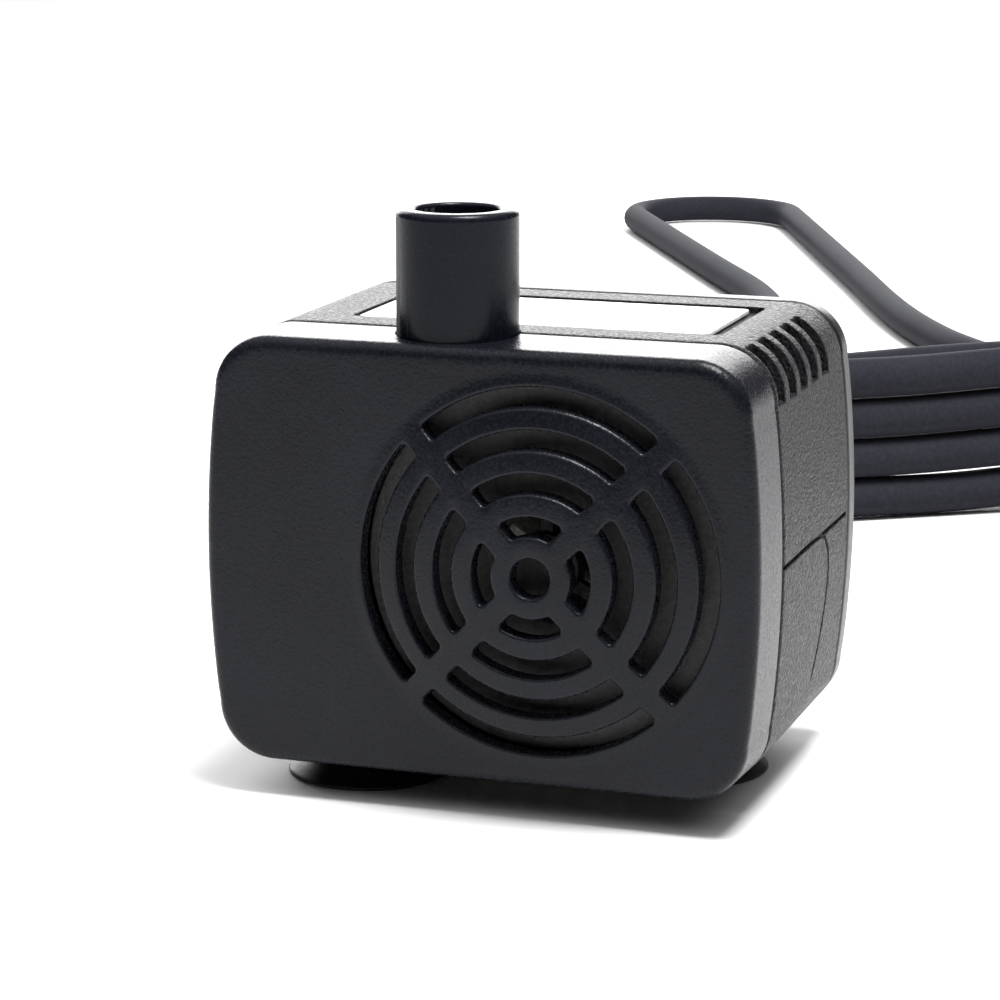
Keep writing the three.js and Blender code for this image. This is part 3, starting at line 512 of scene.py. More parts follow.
def turn(name, prof, mat, centre=(0, 0), axis="Z", seg=96, smooth=35.0):
    """Solid of revolution; prof is (radius, height) pairs, first and last on the axis, or a closed ring."""
    ring = prof[0] == prof[-1]
    pr = prof[:-1] if ring else prof
    v, idx = [], []
    for r, h in pr:
        row = []
        if r < 1e-9:
            row = [len(v)] * seg
            v.append((0, 0, h))
        else:
            for i in range(seg):
                a = 2 * math.pi * i / seg
                row.append(len(v)); v.append((r * math.cos(a), r * math.sin(a), h))
        idx.append(row)
    f = []
    m = len(pr)
    for k in range(m if ring else m - 1):
        a, b = idx[k], idx[(k + 1) % m]
        for i in range(seg):
            j = (i + 1) % seg
            q = [a[i], a[j], b[j], b[i]]
            q = [x for t, x in enumerate(q) if x not in q[:t]]
            if len(q) > 2:
                f.append(tuple(q))
    if axis == "Z":
        v = [(x + centre[0], y + centre[1], z) for x, y, z in v]
    else:   # along Y: centre is (x, z)
        v = [(x + centre[0], h, centre[1] - y) for x, y, h in v]
    return make(name, v, f, mat, smooth)

def block(name, x0, x1, y0, y1, z0, z1):
    v = [(x, y, z) for x in (x0, x1) for y in (y0, y1) for z in (z0, z1)]
    f = [(0, 1, 3, 2), (4, 6, 7, 5), (0, 4, 5, 1), (2, 3, 7, 6), (0, 2, 6, 4), (1, 5, 7, 3)]
    return make(name, v, f, None, 0)

def prism(name, pts, d0, d1, axis):
    """Polygon extruded along an axis: Y takes (x, z), Z takes (x, y), X takes (y, z)."""
    def at(p, d):
        return {"Y": (p[0], d, p[1]), "Z": (p[0], p[1], d), "X": (d, p[0], p[1])}[axis]
    return rings_to_mesh(name, [[at(p, d0) for p in pts], [at(p, d1) for p in pts]], None, smooth=0)

# ---- front cover ----
LIP = 0.42                      # rounding of the edges of the inlet slots
EDGE = 1.35                     # rounding of the rim of the front face
SLOT_CORNER = 0.4

def dome(t):
    """Height fraction of the bulge at radius fraction t, a smooth curve through the measured heights."""
    xs = [0.0, 0.16, 0.31, 0.52, 0.73, 0.9, 1.0]
    ys = [1.0, 0.985, 0.93, 0.74, 0.44, 0.15, 0.0]
    if t >= 1.0:
        return 0.0
    sl = [(ys[i + 1] - ys[i]) / (xs[i + 1] - xs[i]) for i in range(6)]
    m = [0.0] + [2 * sl[i - 1] * sl[i] / (sl[i - 1] + sl[i]) for i in range(1, 6)] + [sl[5] * 0.75]
    i = max(k for k in range(6) if t >= xs[k])
    h = xs[i + 1] - xs[i]
    u = (t - xs[i]) / h
    return ((1 + 2 * u) * (1 - u) ** 2) * ys[i] + u * (1 - u) ** 2 * h * m[i] + u * u * (3 - 2 * u) * ys[i + 1] + u * u * (u - 1) * h * m[i + 1]

def slot_loop(ro, ri, q, d):
    """Outline of one arc-shaped slot, moved outwards by d, about the pump axis."""
    rc, w = SLOT_CORNER, SPOKE_W / 2
    pts = []
    oc, ic = ro - rc, ri + rc
    ao, ai = math.pi / 4 - math.asin((w + rc) / oc), math.pi / 4 - math.asin((w + rc) / ic)
    r = rc + d
    def corner(rad, ang, a0, a1, n=5):
        cx, cz = rad * math.cos(ang), rad * math.sin(ang)
        for i in range(n + 1):
            a = a0 + (a1 - a0) * i / n
            pts.append((cx + r * math.cos(a), cz + r * math.sin(a)))
    no = max(8, int(2 * ao * ro / 0.75)); ni = max(5, int(2 * ai * ri / 0.75))
    for i in range(no + 1):
        a = -ao + 2 * ao * i / no
        pts.append(((ro + d) * math.cos(a), (ro + d) * math.sin(a)))
    corner(oc, ao, ao + 0.12, 3 * math.pi / 4)
    corner(ic, ai, 3 * math.pi / 4, math.pi + ai - 0.12)
    for i in range(ni + 1):
        a = ai - 2 * ai * i / ni
        pts.append(((ri - d) * math.cos(a), (ri - d) * math.sin(a)))
    corner(ic, -ai, math.pi - ai + 0.12, 5 * math.pi / 4)
    corner(oc, -ao, 5 * math.pi / 4, 2 * math.pi - ao - 0.12)
    c, s = math.cos(q * math.pi / 2), math.sin(q * math.pi / 2)
    return [(AX + x * c - z * s, x * s + z * c) for x, z in pts]

def front_cover():
    v2, drop, loops = [], [], []
    def loop(pts, dr):
        ids = list(range(len(v2), len(v2) + len(pts)))
        v2.extend(Vector(p) for p in pts)
        drop.extend([dr] * len(pts))
        loops.append(ids)
        return ids
    def rnd(r, d):
        return r - math.sqrt(max(0.0, r * r - (r - d) ** 2))
    rim = [loop(outline(COVER_W - 2 * e, COVER_H - 2 * e, CORNER_R - e, BOW), rnd(EDGE, e)) for e in (0.0, 0.04 * EDGE, 0.12 * EDGE, 0.24 * EDGE, 0.41 * EDGE, 0.66 * EDGE, EDGE)]
    inner = loop(outline(COVER_W - 2 * WALL, COVER_H - 2 * WALL, CORNER_R - WALL, BOW), 0.0)
    steps = (0.0, 0.05, 0.15, 0.27, LIP)
    slots = []
    for ro in RINGS:
        for q in range(4):
            slots.append([loop(slot_loop(ro, ro - RING_W, q, d), rnd(LIP, d)) for d in steps])
    ne = 36
    slots.append([loop([(AX + (EYE_R + d) * math.cos(2 * math.pi * i / ne), (EYE_R + d) * math.sin(2 * math.pi * i / ne)) for i in range(ne)], rnd(LIP, d)) for d in steps])
    # points between the slots, so that the bulge is smooth there
    mids = [3.25] + [(RINGS[i] + RINGS[i + 1] - RING_W) / 2 for i in range(3)] + [20.25, 20.8, 21.3]
    for r in mids:
        n = max(16, int(2 * math.pi * r / 0.9))
        for i in range(n):
            a = 2 * math.pi * i / n
            v2.append(Vector((AX + r * math.cos(a), r * math.sin(a)))); drop.append(0.0)
    for k in range(4):
        a = math.pi / 4 + k * math.pi / 2
        for j in range(22):
            r = 4.0 + j * 0.72
            if min(abs(r - m) for m in mids) > 0.3:
                v2.append(Vector((AX + r * math.cos(a), r * math.sin(a)))); drop.append(0.0)
    edges = [(l[i], l[(i + 1) % len(l)]) for l in loops for i in range(len(l))]
    faces = [rim[0], inner] + [s[0] for s in slots]
    ov, oe, of_, ids, _, fids = delaunay_2d_cdt(v2, edges, faces, 1, 1e-6, True)
    back_of = {}
    v3 = []
    for p, src in zip(ov, ids):
        r = math.hypot(p.x - AX, p.y)
        y = Y0 - DOME_H * dome(r / DOME_R)
        v3.append((p.x, y + (max(drop[i] for i in src) if src else 0.0), ZC + p.y))
    at = {i: k for k, src in enumerate(ids) for i in src}
    f3 = []
    nslot = len(slots)
    back_tris = []
    for f, src in zip(of_, fids):
        if any(2 <= i < 2 + nslot for i in src):
            continue
        f3.append(tuple(f))
        if 1 in src:
            back_tris.append(f)
    for f in back_tris:
        for k in f:
            if k not in back_of:
                p = ov[k]
                r = math.hypot(p.x - AX, p.y)
                back_of[k] = len(v3)
                v3.append((p.x, Y0 + 2.0 - DOME_H * dome(r / DOME_R), ZC + p.y))
        f3.append(tuple(back_of[k] for k in reversed(f)))
    for s in slots:
        l = [at[i] for i in s[0]]
        for a, b in zip(l, l[1:] + l[:1]):
            if a != b:
                f3.append((a, b, back_of[b], back_of[a]))
    # side wall, rear edge and inside wall
    n = len(rim[0])
    prev = [at[i] for i in rim[0]]
    secs = [(2.2, 0.0, 0.0), (6.0, 0.18, 0.0), (COVER_D - 0.35, 0.3, 0.0), (COVER_D - 0.1, 0.18, 0.08), (COVER_D, -0.15, 0.25)]
    for y, grow, _ in secs:
        o = outline(COVER_W + grow, COVER_H + grow * 1.3, CORNER_R, BOW)
        cur = list(range(len(v3), len(v3) + n))
        v3.extend((p[0], Y0 + y, ZC + p[1]) for p in o)
        for i in range(n):
            f3.append((prev[i], prev[(i + 1) % n], cur[(i + 1) % n], cur[i]))
        prev = cur
    o = outline(COVER_W - 2 * WALL, COVER_H - 2 * WALL, CORNER_R - WALL, BOW)
    cur = list(range(len(v3), len(v3) + n))
    v3.extend((p[0], Y0 + COVER_D, ZC + p[1]) for p in o)
    for i in range(n):
        f3.append((prev[i], prev[(i + 1) % n], cur[(i + 1) % n], cur[i]))
    last = [back_of[at[i]] for i in inner]
    for i in range(n):
        f3.append((cur[i], cur[(i + 1) % n], last[(i + 1) % n], last[i]))
    ob = make("front_cover_shell", v3, f3, M_COVER, 0)
    nr = NOZ_R + 0.14
    cut = [turn("c", [(0, ZC + 18.2), (nr, ZC + 18.2), (nr, ZC + 30), (0, ZC + 30)], None, (NX, NY), "Z", 96, 0),
           block("c", NX - nr, NX + nr, NY, Y0 + COVER_D + 1, ZC + 18.2, ZC + 30)]
    carve(ob, cut)
    drop_stray(ob)
    soften(ob, 38)
    return weigh(ob)

cover = front_cover()
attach(cover, "front_cover"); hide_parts("front_cover")

# ---- main case ----
VENT_Y0, VENT_P, VENT_W = Y0 + 12.3, 4.85, 3.0

def rounded_box(name, x0, x1, y0, y1, z0, z1, r, axis, seg=5):
    """Box whose corners about one axis are rounded."""
    def pts(a0, a1, b0, b1):
        out = []
        for cx, cy, s in ((a1 - r, b1 - r, 0), (a0 + r, b1 - r, 1), (a0 + r, b0 + r, 2), (a1 - r, b0 + r, 3)):
            for i in range(seg + 1):
                t = (s + i / seg) * math.pi / 2
                out.append((cx + r * math.cos(t), cy + r * math.sin(t)))
        return out
    if axis == "Z":
        return prism(name, pts(x0, x1, y0, y1), z0, z1, "Z")
    if axis == "X":
        return prism(name, pts(y0, y1, z0, z1), x0, x1, "X")
    return prism(name, pts(x0, x1, z0, z1), y0, y1, "Y")

def panel_groove():
    """Thin curved groove in the lower right side of the case."""
    k = [(9.0, 0.0), (13.0, 0.0), (26.0, 0.0), (29.2, -1.2), (30.6, -3.8), (30.4, -7.5), (29.0, -12.0), (27.2, -16.4)]
    def cr(p0, p1, p2, p3, t):
        return tuple(0.5 * (2 * p1[j] + (p2[j] - p0[j]) * t + (2 * p0[j] - 5 * p1[j] + 4 * p2[j] - p3[j]) * t * t + (3 * p1[j] - p0[j] - 3 * p2[j] + p3[j]) * t ** 3) for j in (0, 1))
    pts = [k[0]]
    for i in range(len(k) - 1):
        a = k[i - 1] if i else k[0]
        d = k[i + 2] if i + 2 < len(k) else k[-1]
        for n in range(1, 7):
            pts.append(cr(a, k[i], k[i + 1], d, n / 6))
    rings = []
    for i, p in enumerate(pts):
        a, b = pts[max(0, i - 1)], pts[min(len(pts) - 1, i + 1)]
        L = math.hypot(b[0] - a[0], b[1] - a[1])
        n = (-(b[1] - a[1]) / L * 0.25, (b[0] - a[0]) / L * 0.25)
        # the side bows outwards at mid height, so the floor of the groove follows it
        x = CASE_W / 2 - BOW + BOW * math.sin(math.pi * min(1.0, max(0.0, 0.5 + p[1] / (CASE_H - 2 * CORNER_R)))) ** 0.8 - 0.45
        rings.append([(x, Y0 + p[0] + n[0], ZC + p[1] + n[1]), (x + 3, Y0 + p[0] + n[0], ZC + p[1] + n[1]), (x + 3, Y0 + p[0] - n[0], ZC + p[1] - n[1]), (x, Y0 + p[0] - n[0], ZC + p[1] - n[1])])
    return rings_to_mesh("c", rings, None, smooth=0)

def main_case():
    def o(e):
        return outline(CASE_W - 2 * e, CASE_H - 2 * e, CORNER_R - e, BOW, 18, 26)
    inn = outline(CASE_W - 2 * WALL, CASE_H - 2 * WALL, CORNER_R - WALL, BOW, 18, 26)
    a, b = CASE_Y0, CASE_Y1
    # outer skin with softly rounded edges at the seams, then the inside wall, as one closed tube
    secs = [(a, o(0.45)), (a + 0.1, o(0.2)), (a + 0.3, o(0.05)), (a + 0.6, o(0.0)), (b - 0.5, o(0.0)), (b - 0.25, o(0.05)), (b - 0.08, o(0.2)), (b, o(0.42)), (b, inn), (a, inn)]
    rings = [[(p[0], y, ZC + p[1]) for p in q] for y, q in secs]
    rings.append(rings[0])
    ob = rings_to_mesh("case_shell", rings, M_SHELL, cap0=False, cap1=False, smooth=0)
    nr = NOZ_R + 0.14
    cut = [turn("c", [(0, ZC + 18.2), (nr, ZC + 18.2), (nr, ZC + 30), (0, ZC + 30)], None, (NX, NY), "Z", 96, 0)]
    for i in range(5):
        y = VENT_Y0 + i * VENT_P
        # each slot is cut from above and from the side, with rounded ends in both views
        cut.append(rounded_box("c", 25.9, 34, y - VENT_W / 2, y + VENT_W / 2, ZC + 16.9, ZC + 26, 0.9, "Y", 6))
    cut.append(rounded_box("c", -19.2, 22.2, Y0 + 15.0, Y0 + 34.6, TOP - 0.7, TOP + 2, 0.9, "Z", 6))
    for _, cx, cy in CUPS:
        cut.append(turn("c", [(0, 0), (2.5, 0), (2.5, 9), (0, 9)], None, (cx, cy), "Z", 48, 0))
    cut.append(panel_groove())
    cut.append(rounded_box("c", CASE_W / 2 - 0.4, CASE_W / 2 + 2, Y0 + 25.6, Y0 + 38.6, ZC - 0.22, ZC + 0.22, 0.2, "X", 3))
    carve(ob, cut)
    # tongues that locate the front cover
    si = COVER_W / 2 - WALL - 0.3
    add = []
    for s in (-1, 1):
        for z in (-9, 9):
            xi, xo = (si - 2.3, si - 0.3) if s > 0 else (-si + 0.3, -si + 2.3)
            add.append(rounded_box("t", xi, xo, Y0 + 6.2, a + 2.5, ZC + z - 3, ZC + z + 3, 0.4, "X", 3))
            xi, xo = (si - 1.6, si + 1.2) if s > 0 else (-si - 1.2, -si + 1.6)
            add.append(rounded_box("t", xi, xo, a + 0.3, a + 2.5, ZC + z - 3, ZC + z + 3, 0.4, "X", 3))
    carve(ob, add, "UNION")
    edge_round(ob, 0.16, 55, 2)
    soften(ob, 40)
    return weigh(ob)

case = main_case()
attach(case, "base"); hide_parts("main_case")

# ---- small helpers for the turned parts ----
def chaikin(p, times=2, keep_ends=True):
    """Rounds the corners of an open profile."""
    for _ in range(times):
        q = [p[0]]
        for a, b in zip(p, p[1:]):
            q.append((a[0] * 0.75 + b[0] * 0.25, a[1] * 0.75 + b[1] * 0.25))
            q.append((a[0] * 0.25 + b[0] * 0.75, a[1] * 0.25 + b[1] * 0.75))
        q.append(p[-1])
        p = q
    return p

def round_edge(r0, h0, r1, h1, seg=6):
    """Quarter turn from (r0, h0) to (r1, h1), bulging to the corner (r0, h1)."""
    out = []
    for i in range(seg + 1):
        t = i / seg * math.pi / 2
        out.append((r1 + (r0 - r1) * math.cos(t), h0 + (h1 - h0) * math.sin(t)))
    return out

# ---- volute cover with the outlet ----
def volute_cover():
    a, b = Y0 + 3.0, Y0 + 13.7
    body = turn("volute_body", [(5.8, a + 0.2), (6.0, a), (19.6, a), (19.8, a + 0.2), (19.8, a + 1.1), (19.7, a + 1.2), (17.8, a + 1.2), (17.8, Y0 + 11.9), (18.9, Y0 + 11.9), (19.2, Y0 + 12.2), (19.2, b - 0.2), (19.0, b), (16.1, b), (16.1, a + 1.4), (5.8, a + 1.4), (5.8, a + 0.2)],
                M_NOZZLE, (AX, ZC), "Y", 128, 0)
    tube = turn("tube", [(0, ZC + 1)] + [(NOZ_R, ZC + 1), (NOZ_R, NOZ_TOP - 0.8)] + round_edge(NOZ_R, NOZ_TOP - 0.8, NOZ_R - 0.8, NOZ_TOP, 7) + [(0, NOZ_TOP)], M_NOZZLE, (NX, NY), "Z", 96, 0)
    cut = [block("k", NX - 9, NX + 9, NY - 9, a, ZC, ZC + 18.6), block("k", NX - 9, NX + 9, b, NY + 9, ZC, ZC + 18.6)]
    carve(tube, cut)
    carve(body, [tube], "UNION")
    e = 0.45
    bore = [(0, ZC + 0.5), (NOZ_BORE, ZC + 0.5), (NOZ_BORE, NOZ_TOP - e)]
    for i in range(1, 8):
        t = i / 7 * math.pi / 2
        bore.append((NOZ_BORE + e * (1 - math.cos(t)), NOZ_TOP - e + e * math.sin(t)))
    bore += [(NOZ_BORE + e + 0.05, NOZ_TOP + 0.6), (0, NOZ_TOP + 0.6)]
    carve(body, [turn("k", [(0, a + 1.4), (16.1, a + 1.4), (16.1, b + 1), (0, b + 1)], None, (AX, ZC), "Y", 128, 0),
                 turn("k", bore, None, (NX, NY), "Z", 96, 0)])
    hub = turn("hub", [(0, Y0 + 2.4), (3.2, Y0 + 2.4), (3.55, Y0 + 2.55), (3.7, Y0 + 2.9), (3.7, Y0 + 5.0), (2.8, Y0 + 5.0), (2.8, Y0 + 3.0), (0, Y0 + 3.0)], M_NOZZLE, (AX, ZC), "Y", 64, 0)
    ribs = []
    for i in range(3):
        t = i * 2 * math.pi / 3
        c, s = math.cos(t), math.sin(t)
        q = [(-0.65, 3.2), (0.65, 3.2), (0.65, 6.4), (-0.65, 6.4)]
        # the first rib points up, the others follow at thirds of a turn
        ribs.append(prism("rib", [(AX + x * c + z * s, ZC - x * s + z * c) for x, z in q], a + 0.05, a + 1.35, "Y"))
    carve(body, [hub] + ribs, "UNION")
    body.name = "volute_cover_shell"
    # the chamber is coarser than the polished outlet, and its lighter colour is painted haze, glare light seen through
    # the slots
    while len(body.data.materials) < 2:
        body.data.materials.append(M_PLATE_PAINTED_HAZE)
    body.data.materials[0], body.data.materials[1] = M_NOZZLE, M_PLATE_PAINTED_HAZE
    for f in body.data.polygons:
        f.material_index = 0 if f.center.z * 1000 > ZC + 18.0 else 1
    soften(body, 38)
    return weigh(body)

vol = volute_cover()
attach(vol, "volute"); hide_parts("volute_cover")

# ---- rear cover ----
def rear_cover():
    def o(e):
        return outline(CASE_W - 2 * e, CASE_H - 2 * e, CORNER_R - min(e, 1.5), BOW, 18, 26)
    inn = outline(CASE_W - 2 * WALL, CASE_H - 2 * WALL, CORNER_R - WALL, BOW, 18, 26)
    a, b = REAR_Y0, REAR_Y1
    secs = [(b - 1.8, inn), (a, inn), (a, o(0.42)), (a + 0.1, o(0.2)), (a + 0.28, o(0.06)), (a + 0.6, o(0.0))]
    for i in range(1, 9):
        t = i / 8 * math.pi / 2
        secs.append((b - 1.6 + 1.6 * math.sin(t), o(1.6 * (1 - math.cos(t)))))
    rings = [[(p[0], y, ZC + p[1]) for p in q] for y, q in secs]
    ob = rings_to_mesh("rear_cover_shell", rings, M_REAR, smooth=0)
    carve(ob, [turn("k", [(0, a - 1), (5.2, a - 1), (5.2, b + 2), (0, b + 2)], None, (GX, GZ), "Y", 72, 0)])
    # a shallow ring pressed round the gland
    carve(ob, [turn("k", [(8.2, b - 0.3), (9.0, b - 0.3), (9.0, b + 1), (8.2, b + 1), (8.2, b - 0.3)], None, (GX, GZ), "Y", 96, 0)])
    soften(ob, 38)
    return weigh(ob)

rear = rear_cover()
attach(rear, "base"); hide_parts("rear_cover")

# ---- blank label ----
def label_plate():
    x0, x1, y0, y1 = -18.7, 20.6, Y0 + 15.6, Y0 + 33.6
    def ring(e, z):
        r = 0.8 - e * 0.5
        out = []
        for cx, cy, s in ((x1 - e - r, y1 - e - r, 0), (x0 + e + r, y1 - e - r, 1), (x0 + e + r, y0 + e + r, 2), (x1 - e - r, y0 + e + r, 3)):
            for i in range(7):
                t = (s + i / 6) * math.pi / 2
                out.append((cx + r * math.cos(t), cy + r * math.sin(t), z))
        return out
    ob = rings_to_mesh("label_film", [ring(0.0, TOP - 0.5), ring(0.0, TOP - 0.18), ring(0.03, TOP - 0.12), ring(0.1, TOP - 0.1)], M_LABEL, smooth=0)
    soften(ob, 40)
    return ob

lab = label_plate()
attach(lab, "base"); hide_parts("label_plate")

# ---- suction cups ----
under = ZC - CASE_H / 2
for nm, cx, cy in CUPS:
    skirt = [(0, 1.62), (2.0, 1.58), (4.8, 1.2), (7.0, 0.55), (8.3, 0.02), (8.75, 0.0), (CUP_R, 0.12), (CUP_R, 0.34), (8.8, 0.52), (7.5, 1.3), (5.5, 2.4), (4.0, 3.0), (2.9, 3.3), (2.25, 3.42)]
    stem = [(2.2, 3.5), (2.2, under + WALL + 0.2), (2.7, under + WALL + 0.25), (2.9, under + WALL + 0.5), (2.75, under + WALL + 1.3), (2.4, under + WALL + 1.55), (0, under + WALL + 1.6)]
    c = turn("cup_" + nm, chaikin(skirt, 2) + stem, M_CUP, (cx, cy), "Z", 96, 50)
    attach(c, "base"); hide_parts("suction_cup_" + nm)

# ---- cable gland: a flange inside the cover and a ribbed, tapering sleeve ----
def cable_gland():
    prof = [(0, Y0 + 40.8), (6.4, Y0 + 40.8), (6.6, Y0 + 41.0), (6.6, Y0 + 41.9), (4.9, Y0 + 41.9), (4.9, Y0 + 44.4), (6.0, Y0 + 44.4), (6.2, Y0 + 44.6), (6.2, Y0 + 45.6), (5.9, Y0 + 46.0), (5.25, Y0 + 46.6), (5.2, Y0 + 48.2)]
    n = 8
    for i in range(n):
        y = 48.6 + i * 3.3
        r = 5.12 + (3.62 - 5.12) * (y - 47.0) / (77.4 - 47.0)
        d = 0.75 * (1 - 0.35 * i / n)
        prof += [(r, Y0 + y), (r - 0.1, Y0 + y + 0.12), (r - d, Y0 + y + 0.35), (r - d, Y0 + y + 1.15), (r - 0.1, Y0 + y + 1.4), (r - 0.02, Y0 + y + 1.55)]
    prof += [(3.62, Y0 + 76.6), (3.5, Y0 + 77.3), (3.35, Y0 + 77.8), (3.1, Y0 + GL_END), (0, Y0 + GL_END)]
    return turn("gland_sleeve", prof, M_RUBBER, (GX, GZ), "Y", 72, 40)

gland = cable_gland()
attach(gland, "base"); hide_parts("cable_gland")

# ---- ties round the hank ----
def hank_tie(name, s0, oa, ob_, levels):
    w, t, g = 4.0, 0.75, 0.35
    z0 = HANK_Z0 + LIFT
    z1 = z0 + levels * CORD_D
    rg = 1.6
    def loop(d, hw):
        a, b, c, e = oa - g - d, ob_ + g + d, z0 - g - d, z1 + g + d
        r = rg + d
        out = []
        for co, cz, s in ((b - r, e - r, 0), (a + r, e - r, 1), (a + r, c + r, 2), (b - r, c + r, 3)):
            for i in range(7):
                q = (s + i / 6) * math.pi / 2
                p = H(s0 + hw, co + r * math.cos(q))
                out.append((p[0], p[1] + Y0, cz + r * math.sin(q)))
        return out
    secs = [loop(0.0, -w / 2 + 0.2), loop(0.0, w / 2 - 0.2), loop(0.15, w / 2 - 0.03), loop(0.3, w / 2), loop(t - 0.3, w / 2), loop(t - 0.1, w / 2 - 0.08), loop(t, w / 2 - 0.32), loop(t, -w / 2 + 0.32), loop(t - 0.1, -w / 2 + 0.08), loop(t - 0.3, -w / 2), loop(0.3, -w / 2), loop(0.15, -w / 2 + 0.03), loop(0.0, -w / 2 + 0.2)]
    o = rings_to_mesh(name, secs, M_RUBBER, cap0=False, cap1=False, smooth=0)
    soften(o, 45)
    return o

tie_f = hank_tie("tie_front", 36, RI, RO, 4)
tie_r = hank_tie("tie_rear", 36, -RO, -RI, 3)
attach(tie_f, "base"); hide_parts("hank_tie_front")
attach(tie_r, "base"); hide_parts("hank_tie_rear")

# ---- plug: ribbed strain relief, body and two flat blades, lying behind the hank ----
def plug_place(v):
    """From the plug's own axes (x from the cord end to the blades) to the scene."""
    a = HANK_A + math.pi
    o = H(PLUG_S, PLUG_O)
    return [(o[0] + x * math.cos(a) - y * math.sin(a), o[1] + Y0 + x * math.sin(a) + y * math.cos(a), PLUG_Z + z) for x, y, z in v]

def plug_body():
    # cross sections: x, half width, half height, corner exponent
    secs = [(0.3, 3.25, 3.25, 2.0), (0.5, 3.5, 3.5, 2.0)]
    for i in range(6):
        x = 2.2 + i * 3.4
        r = 3.55 + (4.55 - 3.55) * x / 24
        secs += [(x, r, r, 2.0), (x + 0.15, r - 0.08, r - 0.08, 2.0), (x + 0.4, r - 0.6, r - 0.6, 2.0), (x + 1.3, r - 0.6, r - 0.6, 2.0), (x + 1.55, r - 0.05, r - 0.05, 2.0), (x + 1.7, r + 0.06, r + 0.06, 2.0)]
    secs += [(23.6, 4.6, 4.6, 2.0), (25.0, 5.0, 4.9, 2.1), (26.2, 6.1, 5.6, 2.4), (28.0, 7.6, 6.5, 2.8), (30.5, 9.2, 7.3, 3.4), (34.0, 10.4, 7.75, 4.0), (40.0, 11.45, 7.88, 4.6), (47.0, 12.05, 7.9, 5.0), (52.0, 12.3, 7.9, 5.2), (54.5, 12.15, 7.8, 5.0), (55.8, 11.75, 7.5, 4.6), (56.6, 11.2, 7.05, 4.4), (57.0, 10.4, 6.4, 4.2)]
    n = 72
    rings = []
    for x, w, h, k in secs:
        ring = []
        for i in range(n):
            t = 2 * math.pi * i / n
            c, s = math.cos(t), math.sin(t)
            ring.append((x, w * math.copysign(abs(c) ** (2 / k), c), h * math.copysign(abs(s) ** (2 / k), s)))
        rings.append(ring)
    ob = rings_to_mesh("plug_moulding", [plug_place(r) for r in rings], M_PLUG, smooth=0)
    cut = []
    for s in (-1, 1):
        q = [(50.0, s * 6.35 - 0.95), (60.0, s * 6.35 - 0.95), (60.0, s * 6.35 + 0.95), (50.0, s * 6.35 + 0.95)]
        cut.append(rings_to_mesh("k", [plug_place([(x, y, z) for x, y in q]) for z in (-3.4, 3.4)], None, smooth=0))
    # finger grips pressed into both sides
    for side in (-1, 1):
        for i in range(5):
            x = 39.0 + i * 2.9
            q = [(x - 0.6, side * 14), (x + 0.6, side * 14), (x + 0.6, side * 11.35), (x + 0.35, side * 11.2), (x - 0.35, side * 11.2), (x - 0.6, side * 11.35)]
            cut.append(rings_to_mesh("k", [plug_place([(px, py, z) for px, py in q]) for z in (-5.0, 5.0)], None, smooth=0))
    carve(ob, cut)
    soften(ob, 40)
    return ob

plug = plug_body()
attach(plug, "base"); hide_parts("plug_body")

def plug_blade(name, s):
    secs = []
    hy, hz = 0.75, 3.15
    for x, e in ((50.3, 0.0), (72.4, 0.0), (73.2, 0.14), (73.7, 0.34), (74.0, 0.6)):
        ring = []
        y1, z1 = hy - e * 0.75, hz - e
        r = min(0.3, y1 * 0.6)
        for cy, cz, k in ((y1 - r, z1 - r, 0), (-y1 + r, z1 - r, 1), (-y1 + r, -z1 + r, 2), (y1 - r, -z1 + r, 3)):
            for i in range(5):
                t = (k + i / 4) * math.pi / 2
                ring.append((x, s * 6.35 + cy + r * math.cos(t), cz + r * math.sin(t)))
        secs.append(plug_place(ring))
    o = rings_to_mesh(name, secs, M_BRASS, smooth=0)
    soften(o, 40)
    return o

blade_a = plug_blade("blade_a", 1)
blade_b = plug_blade("blade_b", -1)
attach(blade_a, "base"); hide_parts("plug_blade_a")
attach(blade_b, "base"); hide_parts("plug_blade_b")

# ---- materials of the parts kept from the CAD model ----
KEPT = {"motor_housing": M_REAR, "volute_seal": M_RUBBER, "impeller": M_NYLON, "rotor_magnet": M_MAGNET, "ceramic_shaft": M_CERAMIC,
        "bushing_front": M_RUBBER, "bushing_rear": M_RUBBER, "stator_core": M_LAM, "bobbin_upper": M_NYLON, "bobbin_lower": M_NYLON,
        "winding_upper": M_COPPER, "winding_lower": M_COPPER, "potting": M_EPOXY, "core_wire_a": M_WIRE, "core_wire_b": M_WIRE}
for nm, m in KEPT.items():
    ob = bpy.data.objects[nm]
    for i in range(max(1, len(ob.data.materials))):
        if i < len(ob.data.materials):
            ob.data.materials[i] = m
        else:
            ob.data.materials.append(m)

# ---- mains lead ----
cord.data.materials.append(M_CORD)
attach(cord, "base")
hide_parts("cord_lead", "cord_hank", "cord_loop")

# ---- floor, backdrop and light ----
def floor_mat():
    m, nt, bs = new_mat("floor_paper")
    v = coords(nt)
    n = noise(nt, v, 14.0, 3.0)
    f = noise(nt, v, 900.0, 2.0)
    nt.links.new(ramp(nt, n, [(0.3, (0.90, 0.90, 0.90)), (0.7, (0.94, 0.94, 0.94))]), bs.inputs["Base Color"])
    bs.inputs["Roughness"].default_value = 0.62
    bs.inputs["Specular IOR Level"].default_value = 0.3
    nt.links.new(bump(nt, f, 0.15, 0.00002), bs.inputs["Normal"])
    return m

fm = bpy.data.meshes.new("floor")
S = 6.0
fm.from_pydata([(-S, -S, 0), (S, -S, 0), (S, S, 0), (-S, S, 0)], [], [(0, 1, 2, 3)])
fm.materials.append(floor_mat())
floor = bpy.data.objects.new("floor", fm)
bpy.context.scene.collection.objects.link(floor)

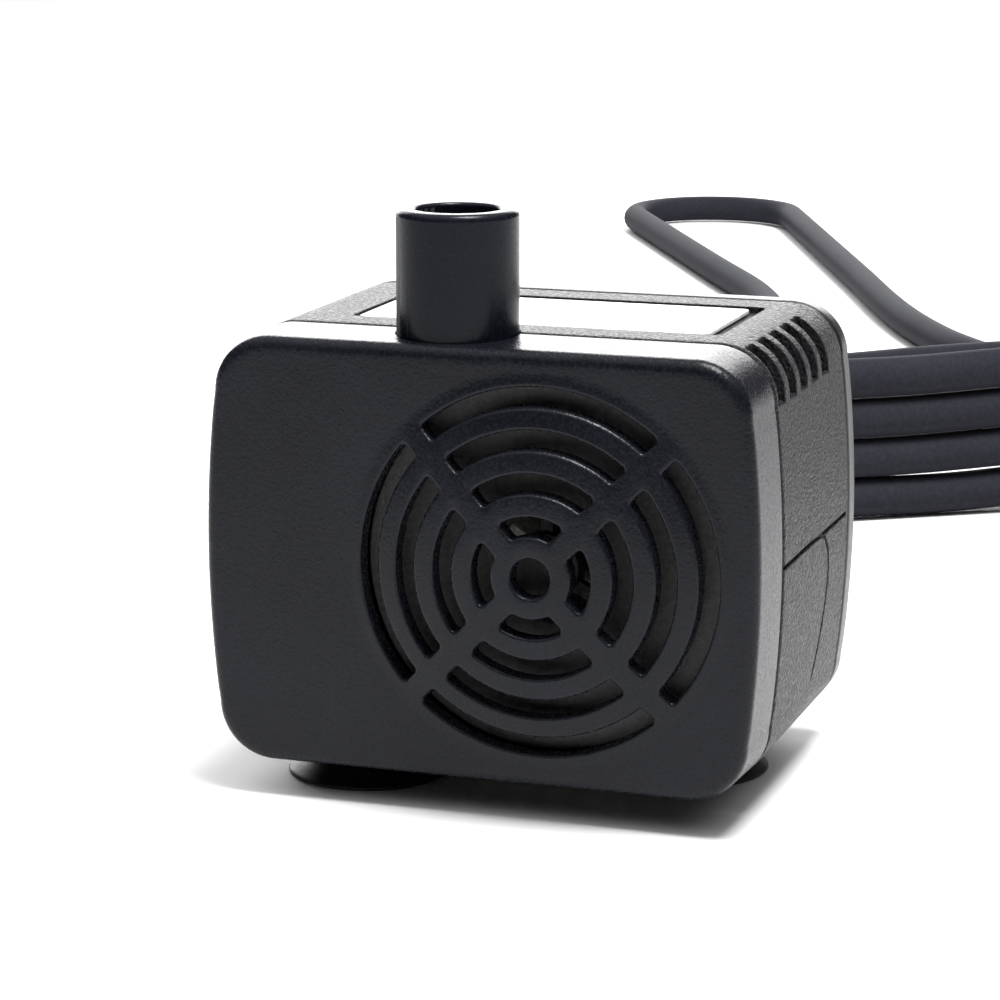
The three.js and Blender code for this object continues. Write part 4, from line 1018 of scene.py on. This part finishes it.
SKY, GLOW = 1.15, 1.5
world = bpy.data.worlds.new("studio")
bpy.context.scene.world = world
world.use_nodes = True
wt = world.node_tree
for n in list(wt.nodes):
    wt.nodes.remove(n)
wo = wt.nodes.new("ShaderNodeOutputWorld")
wb = wt.nodes.new("ShaderNodeBackground")
wt.links.new(wb.outputs["Background"], wo.inputs["Surface"])
wc = wt.nodes.new("ShaderNodeTexCoord")
ws = wt.nodes.new("ShaderNodeSeparateXYZ")
wt.links.new(wc.outputs["Generated"], ws.inputs["Vector"])
def wmath(op, a, b=None):
    m = wt.nodes.new("ShaderNodeMath"); m.operation = op
    for i, q in enumerate((a, b)):
        if q is None:
            continue
        if isinstance(q, (int, float)):
            m.inputs[i].default_value = q
        else:
            wt.links.new(q, m.inputs[i])
    return m.outputs[0]
def ramp_between(src, lo, hi, v0, v1):
    mr = wt.nodes.new("ShaderNodeMapRange")
    mr.interpolation_type = "SMOOTHSTEP"
    for k, q in (("From Min", lo), ("From Max", hi), ("To Min", v0), ("To Max", v1)):
        mr.inputs[k].default_value = q
    wt.links.new(src, mr.inputs["Value"])
    return mr.outputs["Result"]
# bright overhead and low behind the object, dim on the side of the viewer
overhead = ramp_between(ws.outputs["Z"], 0.42, 0.95, 0.04, SKY)
behind = wmath("ADD", wmath("MULTIPLY", ws.outputs["X"], -0.40), wmath("MULTIPLY", ws.outputs["Y"], 0.9165))
glow = ramp_between(behind, 0.80, 0.99, 0.0, GLOW)
low_only = ramp_between(ws.outputs["Z"], 0.10, 0.6, 1.0, 0.0)
total = wmath("ADD", overhead, wmath("MULTIPLY", glow, low_only))
wt.links.new(total, wb.inputs["Strength"])
wb.inputs["Color"].default_value = (0.985, 0.99, 1.0, 1.0)
bpy.context.scene.view_settings.view_transform = "Standard"

def area(name, loc, target, size, power, size_y=None):
    d = bpy.data.lights.new(name, "AREA")
    d.energy = power
    d.size = size
    if size_y:
        d.shape = "RECTANGLE"; d.size_y = size_y
    o = bpy.data.objects.new(name, d)
    o.location = loc
    o.rotation_euler = (Vector(target) - Vector(loc)).to_track_quat("-Z", "Y").to_euler()
    bpy.context.scene.collection.objects.link(o)
    return o
area("key_top", (0.20, -0.06, 0.98), (0.0, 0.0, 0.0), 0.34, 14.0, 0.34)
area("back_soft", (-0.45, 1.10, 0.45), (0.03, 0.15, 0.0), 1.3, 12.0, 0.7)
